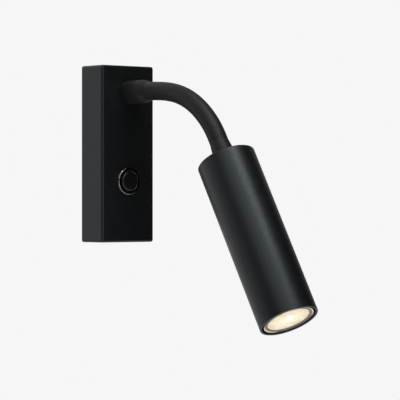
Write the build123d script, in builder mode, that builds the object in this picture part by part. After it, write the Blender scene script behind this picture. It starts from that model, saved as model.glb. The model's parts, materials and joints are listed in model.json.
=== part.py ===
from build123d import *
import os
from math import cos, pi, radians, sin, sqrt, tan

# Bedside wall reading lamp: a wall box with a push switch, a flexible arm and a cylindrical head.
# Millimetres. The origin is the middle of the box's back, on the wall: the wall is the plane y = 0,
# the room is at -Y, +Z is up, and the arm and head lie in the plane x = 0.

# ---- wall box ----
BOX_WIDTH = 46.0
BOX_DEPTH = 23.5
BOX_HEIGHT = 124.0
BOX_WALL = 1.5
BOX_EDGE_RADIUS = 2.0

PLATE_THICKNESS = 1.5
PLATE_GAP = 0.3  # between the wall plate's edge and the cover round it
PLATE_CORNER_RADIUS = 1.5
SLOT_SPACING = 84.0  # wall screws, centre to centre
SLOT_WIDTH = 4.6
SLOT_LENGTH = 9.0
TONGUE_WIDTH = 14.0
TONGUE_REACH = 9.0  # from the wall plane to the tongue's free end
COVER_SCREW_DEPTH = 5.5  # from the wall plane to the cover screws
COVER_SCREW_RADIUS = 1.5
COVER_SCREW_LENGTH = 6.0
COVER_SCREW_HEAD_RADIUS = 2.8
SCREW_SLACK = 0.05  # radial, between a screw and its thread
HOLE_SLACK = 0.2  # radial, between a screw and its clearance hole

CABLE_ENTRY_HEIGHT = -3.0
CABLE_ENTRY_RADIUS = 6.0
GROMMET_BORE_RADIUS = 4.0
GROMMET_LIP = 1.2
GROMMET_FLANGE_THICKNESS = 1.0

CLAMP_HEIGHT = 9.0
CLAMP_LENGTH = 24.0
CLAMP_WIDTH = 6.0
CLAMP_THICKNESS = 5.0
CLAMP_CABLE_RADIUS = 3.5
CLAMP_SCREW_SPACING = 17.0

BLOCK_HEIGHT = 22.0
BLOCK_POLES = 3
POLE_PITCH = 8.0
BLOCK_TALL = 14.0
BLOCK_DEEP = 11.0
BLOCK_FLANGE = 2.5
BLOCK_FLANGE_MARGIN = 0.5  # beside the heads of the block's screws
BLOCK_NOTCH_WIDTH = 1.0
BLOCK_NOTCH_DEPTH = 1.5
POLE_BORE_RADIUS = 1.8
POLE_SCREW_RADIUS = 1.4
POLE_SCREW_DROP = 1.0  # of each clamp screw's top below the block's face

EARTH_INSET = 6.2  # from the wall plate's side edge to the earth screw
EARTH_HEIGHT = 34.0
EARTH_WASHER_MARGIN = 1.0  # beside the earth screw's head

SMALL_SCREW_RADIUS = 1.5
SMALL_SCREW_HEAD_RADIUS = 2.75
SMALL_SCREW_HEAD = 2.0
DRIVER_SLOT_WIDTH = 0.7
DRIVER_SLOT_DEPTH = 0.9

# ---- push switch ----
SWITCH_HEIGHT = -19.2
BEZEL_RADIUS = 9.5
BEZEL_BORE_RADIUS = 7.3
BEZEL_PROUD = 1.3
BARREL_RADIUS = 8.0
BARREL_BORE_RADIUS = 6.85
BARREL_DEPTH = 15.5  # behind the box's front face
BARREL_FLOOR = 1.5
SWITCH_NUT_RADIUS = 10.4
SWITCH_NUT_THICKNESS = 2.5
BUTTON_RADIUS = 6.7
BUTTON_PROUD = 2.9
BUTTON_SKIRT = 7.0  # behind the box's front face
BUTTON_WALL = 1.6
BUTTON_EDGE = 0.5
SPRING_RADIUS = 3.6
SPRING_WIRE = 0.7
SPRING_TURNS = 4
SPRING_GAP = 0.1
BLADE_WIDTH = 4.0
BLADE_THICKNESS = 0.8
BLADE_LENGTH = 3.2
BLADE_SPACING = 8.0

# ---- flexible arm ----
ARM_HEIGHT = 43.3
LINK_PITCH = 7.35
BENDS = (2.5, 7.5, 12.0, 12.5, 11.5, 13.2)  # degrees, one at every other joint, from the wall out
TIP_LENGTH = 14.0  # of the sleeve over the tip ferrule

SLEEVE_RADIUS = 6.25
SLEEVE_BORE_RADIUS = 5.3
CUFF_BASE_RADIUS = 8.2
CUFF_WAIST_RADIUS = 8.6
CUFF_WAIST = 0.6  # the waist's place, as a share of the way from the box to the shoulder
CUFF_SHOULDER_RADIUS = 8.5
CUFF_NARROWING = 5.5  # from the shoulder to the cuff's mouth
CUFF_LIP_RADIUS = 6.8
CUFF_LIP = 1.0
CUFF_OVERHANG = 3.0  # of the cuff past the root ferrule
TIP_CUFF_RADIUS = 8.0

ROOT_FERRULE_RADIUS = 7.3
ROOT_FERRULE_LENGTH = 21.0
ROOT_FERRULE_NOSE = 4.0
TIP_FERRULE_LENGTH = 11.0
FERRULE_SLACK = 0.05
ROOT_THREAD_RADIUS = 4.9
ROOT_THREAD_DEPTH = 10.0
TIP_THREAD_RADIUS = 3.9
TIP_THREAD_DEPTH = 5.0
FERRULE_WEB = 1.0
ROOT_NIPPLE_BORE_RADIUS = 3.0
ROOT_NIPPLE_INSIDE = 9.0  # behind the box's front face
TIP_NIPPLE_BORE_RADIUS = 2.4
TIP_NIPPLE_INSIDE = 8.0  # below the head's top
ROOT_NUT_RADIUS = 7.6
TIP_NUT_RADIUS = 6.4
NUT_THICKNESS = 3.0
WASHER_THICKNESS = 1.0
ROOT_WASHER_RADIUS = 8.5
TIP_WASHER_RADIUS = 6.8

BALL_RADIUS = 3.6
SOCKET_RADIUS = 3.8
CORE_RADIUS = 4.75
CORE_GROOVE_RADIUS = 4.4
CORE_BORE_RADIUS = 2.1
NECK_RADIUS = 2.7
RIM_REACH = 1.2  # of a socket past its ball's centre
NOSE_REACH = 2.2  # of a ball past its own centre
TURNS_PER_LINK = 3
ROOT_TURNS = 2
TIP_TURNS = 4
TURN_PITCH = 1.7
TURN_FLANK = 0.35
CORE_SLACK = 0.05

# ---- head ----
HEAD_RADIUS = 20.0
HEAD_LENGTH = 122.0
HEAD_WALL = 1.6
HEAD_TOP = 2.0
HEAD_TOP_CHAMFER = 0.4
MOUTH_CHAMFER = 0.5

STRAP_THICKNESS = 1.0
STRAP_WIDTH = 11.0
STRAP_X = 15.5  # outer face of each leg
STRAP_FOOT = 7.5
HOLDER_TOP = 57.0  # from the head's top
HOLDER_HEIGHT = 13.0
HOLDER_LENGTH = 29.0
HOLDER_WIDTH = 19.0
HOLDER_CORNER = 4.0
HOLDER_FACE = 2.5
HOLDER_CAVITY_RADIUS = 8.6
HOLDER_CAVITY_HEIGHT = 6.6
HOLDER_EDGE = 0.6
HOLDER_SCREW_X = 11.8
HOLDER_SCREW_HEAD_RADIUS = 2.55
HOLDER_SCREW_END_GAP = 1.0  # from a screw's end to the bottom of its hole
LEAD_HOLE_RADIUS = 1.1
CONTACT_WIDTH = 2.6
CONTACT_LENGTH = 4.0
CONTACT_THICKNESS = 0.5
CONTACT_STUD_RADIUS = 1.0
CONTACT_GAP = 0.3  # from a contact's stud to the end of its pin

PIN_SPACING = 10.0
PIN_RADIUS = 1.5
PIN_HEAD_RADIUS = 2.4
PIN_SHANK = 4.6
PIN_HEAD = 2.0
PIN_SLACK = 0.35
LOCK_TURN = 20.0  # degrees from the key holes to the locked place

# ---- lamp, from the head's top ----
LAMP_SEAT_GAP = 0.4
LAMP_BASE_RADIUS = 8.4
LAMP_BASE_LENGTH = 14.0
LAMP_BASE_EDGE = 1.0
LAMP_BASE_FLARE = 3.0  # height of the cone from the base's body to the reflector's neck
REFLECTOR_NECK_RADIUS = 9.6
REFLECTOR_RIM_RADIUS = 16.7
REFLECTOR_WALL = 1.0
BULGE_HEIGHT = 0.45  # place of the reflector's bulge, as a share of the way from neck to rim
BULGE_RADIUS = 0.62  # its radius, as a share of the step from neck to rim
LAMP_RECESS = 0.5
LAMP_BEZEL_RADIUS = 17.5
LAMP_BEZEL_BORE = 15.2
LAMP_BEZEL_DEPTH = 3.5
LAMP_BEZEL_EDGE = 0.4
LAMP_LEDGE_RADIUS = 14.6
LAMP_LENS_RADIUS = 15.1
LAMP_LENS_RECESS = 1.8
LAMP_LENS_THICKNESS = 1.2
LAMP_LENS_EDGE = 0.2
CAPSULE_RADIUS = 2.6
CAPSULE_LENGTH = 12.0
CAPSULE_SLACK = 0.1
CLIP_COUNT = 3
CLIP_TURN = 30.0  # degrees from the lamp's x to the first clip
CLIP_WIDTH = 2.4
CLIP_THICKNESS = 0.4

# ---- leads ----
ARM_LEAD_RADIUS = 1.3
CORE_LEAD_RADIUS = 0.6
CORE_LEAD_SPACING = 1.3
ARM_LEAD_TAIL = 2.0  # past each nipple
LEAD_BEND = 4.0  # unit in which the points where a single lead turns are set out
LEAD_SIDE_GAP = 3.0  # from the cover's side to the middle of a lead beside it

X = Vector(1, 0, 0)


def along(origin, direction):
    """A frame whose z runs along direction and whose x is the lamp's x."""
    return Plane(origin=origin, x_dir=X, z_dir=direction)


def profile_plane(frame):
    """The plane in which a turned piece's profile is drawn: x is the radius, y runs along the frame's z."""
    return Plane(origin=frame.origin, x_dir=frame.x_dir, z_dir=frame.x_dir.cross(frame.z_dir))


def turning_axis(frame):
    return Axis(frame.origin, frame.z_dir)


def save(piece, name):
    piece.part.label = name
    export_step(piece.part, f"parts/{name}.step")


os.makedirs("parts", exist_ok=True)

WALL = Plane(origin=(0, 0, 0), x_dir=(1, 0, 0), z_dir=(0, -1, 0))  # drawn from the room: y is up
FRONT = WALL.offset(BOX_DEPTH)
PLATE_FRONT = WALL.offset(PLATE_THICKNESS)
INSIDE_DEPTH = BOX_DEPTH - BOX_WALL

ARM = along((0, -BOX_DEPTH, ARM_HEIGHT), (0, -1, 0))
SWITCH = along((0, -BOX_DEPTH, SWITCH_HEIGHT), (0, -1, 0))
cuff_length = ROOT_FERRULE_LENGTH + CUFF_OVERHANG


# ---- the arm's joints, from the wall out: a joint every LINK_PITCH, bent in turn up-down and sideways ----

JOINT_COUNT = 2 * len(BENDS)


def slope_direction(slope):
    """The arm's direction where it points slope degrees below the horizontal."""
    return Vector(0, -cos(radians(slope)), -sin(radians(slope)))


def arm_joints():
    """A frame at each joint, pointing along the turns that follow it, then the frame at the head's top."""
    slope = 0.0
    place = ARM.origin + slope_direction(slope) * (cuff_length + LINK_PITCH / 2)
    joints = []
    for number in range(JOINT_COUNT):
        if number % 2 == 0:
            slope += BENDS[number // 2]
        joints.append(along(place, slope_direction(slope)))
        step = LINK_PITCH if number < JOINT_COUNT - 1 else LINK_PITCH / 2 + TIP_LENGTH
        place = place + slope_direction(slope) * step
    return joints, along(place, slope_direction(slope))


JOINTS, HEAD = arm_joints()


# ---- wall plate ----

plate_width = BOX_WIDTH - 2 * (BOX_WALL + PLATE_GAP)
plate_height = BOX_HEIGHT - 2 * (BOX_WALL + PLATE_GAP)
block_screw_x = BLOCK_POLES * POLE_PITCH / 2 + BLOCK_FLANGE / 2 + SMALL_SCREW_RADIUS

with BuildPart() as wall_bracket:
    with BuildSketch(WALL):
        RectangleRounded(plate_width, plate_height, PLATE_CORNER_RADIUS)
        with GridLocations(0, SLOT_SPACING, 1, 2):
            SlotOverall(SLOT_LENGTH, SLOT_WIDTH, rotation=90, mode=Mode.SUBTRACT)
        with Locations((0, CABLE_ENTRY_HEIGHT)):
            Circle(CABLE_ENTRY_RADIUS, mode=Mode.SUBTRACT)
        screw_holes = [
            (-CLAMP_SCREW_SPACING / 2, CLAMP_HEIGHT),
            (CLAMP_SCREW_SPACING / 2, CLAMP_HEIGHT),
            (-block_screw_x, BLOCK_HEIGHT),
            (block_screw_x, BLOCK_HEIGHT),
            (plate_width / 2 - EARTH_INSET, EARTH_HEIGHT),
        ]
        with Locations(*screw_holes):
            Circle(SMALL_SCREW_RADIUS + SCREW_SLACK, mode=Mode.SUBTRACT)
    extrude(amount=PLATE_THICKNESS)
    tongue_z = plate_height / 2 - PLATE_THICKNESS / 2
    with BuildSketch(WALL):
        with GridLocations(0, 2 * tongue_z, 1, 2):
            Rectangle(TONGUE_WIDTH, PLATE_THICKNESS)
    extrude(amount=TONGUE_REACH)
    with BuildSketch(Plane.XY.offset(-plate_height / 2)):
        with Locations((0, -COVER_SCREW_DEPTH)):
            Circle(COVER_SCREW_RADIUS + SCREW_SLACK)
    extrude(amount=plate_height, mode=Mode.SUBTRACT)
save(wall_bracket, "wall_bracket")


# ---- box cover ----

with BuildPart() as housing:
    with BuildSketch(WALL):
        Rectangle(BOX_WIDTH, BOX_HEIGHT)
    extrude(amount=BOX_DEPTH)
    fillet(housing.edges().filter_by(Axis.Y), BOX_EDGE_RADIUS)
    fillet(housing.faces().sort_by(Axis.Y)[0].edges(), BOX_EDGE_RADIUS)
    with BuildSketch(WALL):
        RectangleRounded(BOX_WIDTH - 2 * BOX_WALL, BOX_HEIGHT - 2 * BOX_WALL, BOX_EDGE_RADIUS / 2)
    extrude(amount=INSIDE_DEPTH, mode=Mode.SUBTRACT)
    with BuildSketch(FRONT):
        with Locations((0, ARM_HEIGHT)):
            Circle(ROOT_THREAD_RADIUS + HOLE_SLACK)
        with Locations((0, SWITCH_HEIGHT)):
            Circle(BARREL_RADIUS + HOLE_SLACK / 2)
    extrude(amount=-2 * BOX_WALL, mode=Mode.SUBTRACT)
    for end in (-1, 1):
        screw_plane = Plane(
            origin=(0, -COVER_SCREW_DEPTH, end * BOX_HEIGHT / 2), x_dir=(1, 0, 0), z_dir=(0, 0, end)
        )
        with Locations(screw_plane):
            CounterSinkHole(
                radius=COVER_SCREW_RADIUS + HOLE_SLACK,
                counter_sink_radius=COVER_SCREW_HEAD_RADIUS + HOLE_SLACK,
                depth=2 * BOX_WALL,
            )
save(housing, "housing")


with BuildPart() as housing_screws:
    for end in (-1, 1):
        screw_frame = along((0, -COVER_SCREW_DEPTH, end * (BOX_HEIGHT / 2 - HOLE_SLACK)), (0, 0, end))
        with BuildSketch(profile_plane(screw_frame)):
            with BuildLine():
                Polyline(
                    (0, 0),
                    (COVER_SCREW_HEAD_RADIUS, 0),
                    (COVER_SCREW_RADIUS, COVER_SCREW_RADIUS - COVER_SCREW_HEAD_RADIUS),
                    (COVER_SCREW_RADIUS, -COVER_SCREW_LENGTH),
                    (0, -COVER_SCREW_LENGTH),
                    close=True,
                )
            make_face()
        revolve(axis=turning_axis(screw_frame))
        with BuildSketch(screw_frame):
            Rectangle(2 * COVER_SCREW_HEAD_RADIUS, DRIVER_SLOT_WIDTH)
        extrude(amount=-DRIVER_SLOT_DEPTH, mode=Mode.SUBTRACT)
save(housing_screws, "housing_screws")


# ---- cable entry, clamp, terminal block and earth point on the wall plate ----

with BuildPart() as entry_grommet:
    entry_frame = along((0, 0, CABLE_ENTRY_HEIGHT), (0, -1, 0))
    lip_radius = CABLE_ENTRY_RADIUS + GROMMET_LIP
    with BuildSketch(profile_plane(entry_frame)):
        with BuildLine():
            Polyline(
                (GROMMET_BORE_RADIUS, 0),
                (CABLE_ENTRY_RADIUS - SCREW_SLACK, 0),
                (CABLE_ENTRY_RADIUS - SCREW_SLACK, PLATE_THICKNESS),
                (lip_radius, PLATE_THICKNESS),
                (lip_radius, PLATE_THICKNESS + GROMMET_FLANGE_THICKNESS / 2),
                (lip_radius - GROMMET_FLANGE_THICKNESS / 2, PLATE_THICKNESS + GROMMET_FLANGE_THICKNESS),
                (GROMMET_BORE_RADIUS, PLATE_THICKNESS + GROMMET_FLANGE_THICKNESS),
                close=True,
            )
        make_face()
    revolve(axis=turning_axis(entry_frame))
save(entry_grommet, "entry_grommet")

with BuildPart() as cable_clamp:
    with BuildSketch(PLATE_FRONT):
        with Locations((0, CLAMP_HEIGHT)):
            SlotOverall(CLAMP_LENGTH, CLAMP_WIDTH)
        with Locations((0, CLAMP_HEIGHT)):
            with GridLocations(CLAMP_SCREW_SPACING, 0, 2, 1):
                Circle(SMALL_SCREW_RADIUS + HOLE_SLACK, mode=Mode.SUBTRACT)
    extrude(amount=CLAMP_THICKNESS)
    with BuildSketch(Plane.XY.offset(CLAMP_HEIGHT - CLAMP_WIDTH)):
        with Locations((0, -PLATE_THICKNESS)):
            Circle(CLAMP_CABLE_RADIUS)
    extrude(amount=2 * CLAMP_WIDTH, mode=Mode.SUBTRACT)
save(cable_clamp, "cable_clamp")


def pan_screws(places, seat):
    """Slotted pan-head screws at places (x, z), through to the wall from heads seated seat in front of it."""
    with BuildPart() as screws:
        with BuildSketch(WALL.offset(seat)):
            with Locations(*places):
                Circle(SMALL_SCREW_HEAD_RADIUS)
        extrude(amount=SMALL_SCREW_HEAD)
        fillet(screws.edges().group_by(Axis.Y)[0], SMALL_SCREW_HEAD / 3)
        with BuildSketch(WALL):
            with Locations(*places):
                Circle(SMALL_SCREW_RADIUS)
        extrude(amount=seat)
        with BuildSketch(WALL.offset(seat + SMALL_SCREW_HEAD)):
            with Locations(*places):
                Rectangle(2 * SMALL_SCREW_HEAD_RADIUS, DRIVER_SLOT_WIDTH)
        extrude(amount=-DRIVER_SLOT_DEPTH, mode=Mode.SUBTRACT)
    return screws


cable_clamp_screws = pan_screws(screw_holes[0:2], PLATE_THICKNESS + CLAMP_THICKNESS)
save(cable_clamp_screws, "cable_clamp_screws")

block_length = BLOCK_POLES * POLE_PITCH
flange_length = 2 * (block_screw_x + SMALL_SCREW_HEAD_RADIUS + BLOCK_FLANGE / 4)
with BuildPart() as terminal_block:
    with BuildSketch(PLATE_FRONT):
        with Locations((0, BLOCK_HEIGHT)):
            Rectangle(block_length, BLOCK_TALL)
    extrude(amount=BLOCK_DEEP)
    with BuildSketch(PLATE_FRONT):
        with Locations((0, BLOCK_HEIGHT)):
            SlotOverall(flange_length, 2 * (SMALL_SCREW_HEAD_RADIUS + BLOCK_FLANGE_MARGIN))
    extrude(amount=BLOCK_FLANGE)
    with BuildSketch(PLATE_FRONT):
        with Locations(*screw_holes[2:4]):
            Circle(SMALL_SCREW_RADIUS + HOLE_SLACK)
    extrude(amount=BLOCK_FLANGE, mode=Mode.SUBTRACT)
    pole_y = -(PLATE_THICKNESS + BLOCK_DEEP / 2)
    with BuildSketch(Plane.XY.offset(BLOCK_HEIGHT - BLOCK_TALL / 2)):
        with Locations((0, pole_y)):
            with GridLocations(POLE_PITCH, 0, BLOCK_POLES, 1):
                Circle(POLE_BORE_RADIUS)
    extrude(amount=BLOCK_TALL, mode=Mode.SUBTRACT)
    with BuildSketch(WALL.offset(PLATE_THICKNESS + BLOCK_DEEP)):
        with Locations((0, BLOCK_HEIGHT)):
            with GridLocations(POLE_PITCH, BLOCK_TALL / 2, BLOCK_POLES, 2):
                Circle(POLE_SCREW_RADIUS + SCREW_SLACK)
    extrude(amount=-BLOCK_DEEP / 2, mode=Mode.SUBTRACT)
    with BuildSketch(WALL.offset(PLATE_THICKNESS + BLOCK_DEEP)):
        with Locations((0, BLOCK_HEIGHT)):
            with GridLocations(POLE_PITCH, 0, BLOCK_POLES - 1, 1):
                Rectangle(BLOCK_NOTCH_WIDTH, BLOCK_TALL)
    extrude(amount=-BLOCK_NOTCH_DEPTH, mode=Mode.SUBTRACT)
save(terminal_block, "terminal_block")

pole_screw_top = PLATE_THICKNESS + BLOCK_DEEP - POLE_SCREW_DROP
pole_screw_end = PLATE_THICKNESS + BLOCK_DEEP / 2 + POLE_BORE_RADIUS / 2
with BuildPart() as terminal_screws:
    with BuildSketch(WALL.offset(pole_screw_top)):
        with Locations((0, BLOCK_HEIGHT)):
            with GridLocations(POLE_PITCH, BLOCK_TALL / 2, BLOCK_POLES, 2):
                Circle(POLE_SCREW_RADIUS)
                Rectangle(2 * POLE_SCREW_RADIUS, DRIVER_SLOT_WIDTH, mode=Mode.SUBTRACT)
    extrude(amount=-DRIVER_SLOT_DEPTH)
    with BuildSketch(WALL.offset(pole_screw_top - DRIVER_SLOT_DEPTH)):
        with Locations((0, BLOCK_HEIGHT)):
            with GridLocations(POLE_PITCH, BLOCK_TALL / 2, BLOCK_POLES, 2):
                Circle(POLE_SCREW_RADIUS)
    extrude(amount=pole_screw_end - pole_screw_top + DRIVER_SLOT_DEPTH)
save(terminal_screws, "terminal_screws")

terminal_block_screws = pan_screws(screw_holes[2:4], PLATE_THICKNESS + BLOCK_FLANGE)
save(terminal_block_screws, "terminal_block_screws")

with BuildPart() as earth_washer:
    with BuildSketch(PLATE_FRONT):
        with Locations(screw_holes[4]):
            Circle(SMALL_SCREW_HEAD_RADIUS + EARTH_WASHER_MARGIN)
            Circle(SMALL_SCREW_RADIUS + HOLE_SLACK, mode=Mode.SUBTRACT)
    extrude(amount=WASHER_THICKNESS)
save(earth_washer, "earth_washer")

earth_screw = pan_screws(screw_holes[4:5], PLATE_THICKNESS + WASHER_THICKNESS)
save(earth_screw, "earth_screw")


# ---- push switch ----

with BuildPart() as switch_bezel:
    with BuildSketch(profile_plane(SWITCH)):
        with BuildLine():
            Polyline(
                (BEZEL_BORE_RADIUS, 0),
                (BEZEL_RADIUS, 0),
                (BEZEL_RADIUS, BEZEL_PROUD / 3),
                (BEZEL_RADIUS - BEZEL_PROUD * 2 / 3, BEZEL_PROUD),
                (BEZEL_BORE_RADIUS + BEZEL_PROUD / 3, BEZEL_PROUD),
                (BEZEL_BORE_RADIUS, BEZEL_PROUD * 2 / 3),
                close=True,
            )
        make_face()
    revolve(axis=turning_axis(SWITCH))
save(switch_bezel, "switch_bezel")

with BuildPart() as switch_body:
    with BuildSketch(profile_plane(SWITCH)):
        with BuildLine():
            Polyline(
                (BARREL_BORE_RADIUS, 0),
                (BARREL_RADIUS, 0),
                (BARREL_RADIUS, -BARREL_DEPTH),
                (0, -BARREL_DEPTH),
                (0, -BARREL_DEPTH + BARREL_FLOOR),
                (BARREL_BORE_RADIUS, -BARREL_DEPTH + BARREL_FLOOR),
                close=True,
            )
        make_face()
    revolve(axis=turning_axis(SWITCH))
save(switch_body, "switch_body")


def hex_nut(frame, across_corners, bore, thickness, seat):
    """A chamfered hexagon nut on the frame's axis, from seat to seat + thickness."""
    with BuildPart() as nut:
        with BuildSketch(frame.offset(seat)):
            RegularPolygon(across_corners, 6)
        extrude(amount=thickness)
        corner = across_corners * (1 - cos(pi / 6))
        with BuildSketch(profile_plane(frame)):
            with BuildLine():
                Polyline(
                    (bore, seat),
                    (across_corners - corner, seat),
                    (across_corners, seat + corner / 2),
                    (across_corners, seat + thickness - corner / 2),
                    (across_corners - corner, seat + thickness),
                    (bore, seat + thickness),
                    close=True,
                )
            make_face()
        revolve(axis=turning_axis(frame), mode=Mode.INTERSECT)
    return nut


switch_nut_seat = -BOX_WALL - SWITCH_NUT_THICKNESS
switch_nut = hex_nut(
    SWITCH, SWITCH_NUT_RADIUS, BARREL_RADIUS + SCREW_SLACK, SWITCH_NUT_THICKNESS, switch_nut_seat
)
save(switch_nut, "switch_nut")

with BuildPart() as push_button:
    with BuildSketch(SWITCH.offset(-BUTTON_SKIRT)):
        Circle(BUTTON_RADIUS)
    extrude(amount=BUTTON_SKIRT + BUTTON_PROUD)
    fillet(push_button.faces().sort_by(Axis.Y)[0].edges(), BUTTON_EDGE)
    with BuildSketch(SWITCH.offset(-BUTTON_SKIRT)):
        Circle(BUTTON_RADIUS - BUTTON_WALL)
    extrude(amount=BUTTON_SKIRT + BUTTON_PROUD - BUTTON_WALL, mode=Mode.SUBTRACT)
save(push_button, "push_button")

spring_floor = -BARREL_DEPTH + BARREL_FLOOR + SPRING_GAP + SPRING_WIRE / 2
spring_top = BUTTON_PROUD - BUTTON_WALL - SPRING_GAP - SPRING_WIRE / 2
with BuildPart() as switch_spring:
    with BuildLine():
        spring_line = Helix(
            pitch=(spring_top - spring_floor) / SPRING_TURNS,
            height=spring_top - spring_floor,
            radius=SPRING_RADIUS,
            center=SWITCH.offset(spring_floor).origin,
            direction=SWITCH.z_dir,
        )
    with BuildSketch(Plane(origin=spring_line @ 0, z_dir=spring_line % 0)):
        Rectangle(SPRING_WIRE, SPRING_WIRE)
    sweep(path=spring_line, is_frenet=True)
save(switch_spring, "switch_spring")

with BuildPart() as switch_terminals:
    with BuildSketch(SWITCH.offset(-BARREL_DEPTH)):
        with GridLocations(BLADE_SPACING, 0, 2, 1):
            Rectangle(BLADE_THICKNESS, BLADE_WIDTH)
    extrude(amount=-BLADE_LENGTH)
    chamfer(switch_terminals.edges().group_by(Axis.Y)[-1].filter_by(Axis.X), BLADE_THICKNESS / 2)
save(switch_terminals, "switch_terminals")


# ---- flexible arm: end fittings ----

with BuildPart() as arm_root_ferrule:
    seat_top = ROOT_THREAD_DEPTH + FERRULE_WEB
    with BuildSketch(profile_plane(ARM)):
        with BuildLine():
            Polyline(
                (CORE_RADIUS + CORE_SLACK, ROOT_FERRULE_LENGTH),
                (CORE_RADIUS + CORE_SLACK, seat_top),
                (CORE_BORE_RADIUS, seat_top),
                (CORE_BORE_RADIUS, ROOT_THREAD_DEPTH),
                (ROOT_THREAD_RADIUS + SCREW_SLACK, ROOT_THREAD_DEPTH),
                (ROOT_THREAD_RADIUS + SCREW_SLACK, 0),
                (ROOT_FERRULE_RADIUS, 0),
                (ROOT_FERRULE_RADIUS, ROOT_FERRULE_LENGTH - ROOT_FERRULE_NOSE),
            )
            TangentArc(
                (ROOT_FERRULE_RADIUS, ROOT_FERRULE_LENGTH - ROOT_FERRULE_NOSE),
                (SLEEVE_BORE_RADIUS - FERRULE_SLACK, ROOT_FERRULE_LENGTH),
                tangent=(0, 1),
            )
            Line(
                (SLEEVE_BORE_RADIUS - FERRULE_SLACK, ROOT_FERRULE_LENGTH),
                (CORE_RADIUS + CORE_SLACK, ROOT_FERRULE_LENGTH),
            )
        make_face()
    revolve(axis=turning_axis(ARM))
save(arm_root_ferrule, "arm_root_ferrule")


def tip_cuff_radius(height):
    """Outer radius of the sleeve over the tip ferrule, height above the head's top."""
    return TIP_CUFF_RADIUS - (TIP_CUFF_RADIUS - SLEEVE_RADIUS) * height / TIP_LENGTH


SLEEVE_WALL = SLEEVE_RADIUS - SLEEVE_BORE_RADIUS

with BuildPart() as arm_tip_ferrule:
    web_top = TIP_THREAD_DEPTH + FERRULE_WEB
    with BuildSketch(profile_plane(HEAD)):
        with BuildLine():
            Polyline(
                (TIP_THREAD_RADIUS + SCREW_SLACK, 0),
                (tip_cuff_radius(0) - SLEEVE_WALL - FERRULE_SLACK, 0),
                (tip_cuff_radius(TIP_FERRULE_LENGTH) - SLEEVE_WALL - FERRULE_SLACK, -TIP_FERRULE_LENGTH),
                (CORE_RADIUS + CORE_SLACK, -TIP_FERRULE_LENGTH),
                (CORE_RADIUS + CORE_SLACK, -web_top),
                (CORE_BORE_RADIUS, -web_top),
                (CORE_BORE_RADIUS, -TIP_THREAD_DEPTH),
                (TIP_THREAD_RADIUS + SCREW_SLACK, -TIP_THREAD_DEPTH),
                close=True,
            )
        make_face()
    revolve(axis=turning_axis(HEAD))
save(arm_tip_ferrule, "arm_tip_ferrule")


def tube_between(frame, outer, inner, start, end):
    """A plain tube on the frame's axis, from start to end along it."""
    with BuildPart() as tube:
        with BuildSketch(frame.offset(start)):
            Circle(outer)
            Circle(inner, mode=Mode.SUBTRACT)
        extrude(amount=end - start)
    return tube


root_nipple_end = ROOT_THREAD_DEPTH - FERRULE_SLACK
arm_root_nipple = tube_between(
    ARM, ROOT_THREAD_RADIUS, ROOT_NIPPLE_BORE_RADIUS, -ROOT_NIPPLE_INSIDE, root_nipple_end
)
save(arm_root_nipple, "arm_root_nipple")
arm_tip_nipple = tube_between(
    HEAD, TIP_THREAD_RADIUS, TIP_NIPPLE_BORE_RADIUS, -TIP_THREAD_DEPTH + FERRULE_SLACK, TIP_NIPPLE_INSIDE
)
save(arm_tip_nipple, "arm_tip_nipple")

root_washer_top = -BOX_WALL - WASHER_THICKNESS
arm_root_washer = tube_between(
    ARM, ROOT_WASHER_RADIUS, ROOT_THREAD_RADIUS + HOLE_SLACK, root_washer_top, -BOX_WALL
)
save(arm_root_washer, "arm_root_washer")
arm_root_nut = hex_nut(
    ARM, ROOT_NUT_RADIUS, ROOT_THREAD_RADIUS + SCREW_SLACK, NUT_THICKNESS, root_washer_top - NUT_THICKNESS
)
save(arm_root_nut, "arm_root_nut")

tip_washer_top = HEAD_TOP + STRAP_THICKNESS
tip_nut_seat = tip_washer_top + WASHER_THICKNESS
arm_tip_washer = tube_between(
    HEAD, TIP_WASHER_RADIUS, TIP_THREAD_RADIUS + HOLE_SLACK, tip_washer_top, tip_nut_seat
)
save(arm_tip_washer, "arm_tip_washer")
arm_tip_nut = hex_nut(HEAD, TIP_NUT_RADIUS, TIP_THREAD_RADIUS + SCREW_SLACK, NUT_THICKNESS, tip_nut_seat)
save(arm_tip_nut, "arm_tip_nut")


# ---- flexible arm: the wound core, in groups of turns that rock on one another ----

link_shoulder = TURNS_PER_LINK * TURN_PITCH - RIM_REACH


def turns(start, count):
    """Outline points of the core's turns along y from start: flat crests with sloped flanks."""
    points = []
    for number in range(count):
        foot = start + number * TURN_PITCH
        points += [
            (CORE_GROOVE_RADIUS, foot),
            (CORE_RADIUS, foot + TURN_FLANK),
            (CORE_RADIUS, foot + TURN_PITCH - TURN_FLANK),
        ]
    return points + [(CORE_GROOVE_RADIUS, start + count * TURN_PITCH)]


def ball_end(centre, shoulder):
    """Draws the neck and ball that end a group of turns, from its shoulder to the bore."""
    throat = centre - sqrt(BALL_RADIUS**2 - NECK_RADIUS**2)
    nose_radius = sqrt(BALL_RADIUS**2 - NOSE_REACH**2)
    Polyline((CORE_GROOVE_RADIUS, shoulder), (NECK_RADIUS, shoulder), (NECK_RADIUS, throat))
    ThreePointArc((NECK_RADIUS, throat), (BALL_RADIUS, centre), (nose_radius, centre + NOSE_REACH))
    Line((nose_radius, centre + NOSE_REACH), (CORE_BORE_RADIUS, centre + NOSE_REACH))


def socket_start():
    """Draws the hollow in which the last ball sits, from the bore to the rim's outer edge."""
    floor = sqrt(SOCKET_RADIUS**2 - CORE_BORE_RADIUS**2)
    rim_radius = sqrt(SOCKET_RADIUS**2 - RIM_REACH**2)
    ThreePointArc((CORE_BORE_RADIUS, floor), (SOCKET_RADIUS, 0), (rim_radius, -RIM_REACH))
    Line((rim_radius, -RIM_REACH), (CORE_GROOVE_RADIUS, -RIM_REACH))
    return floor


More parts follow.
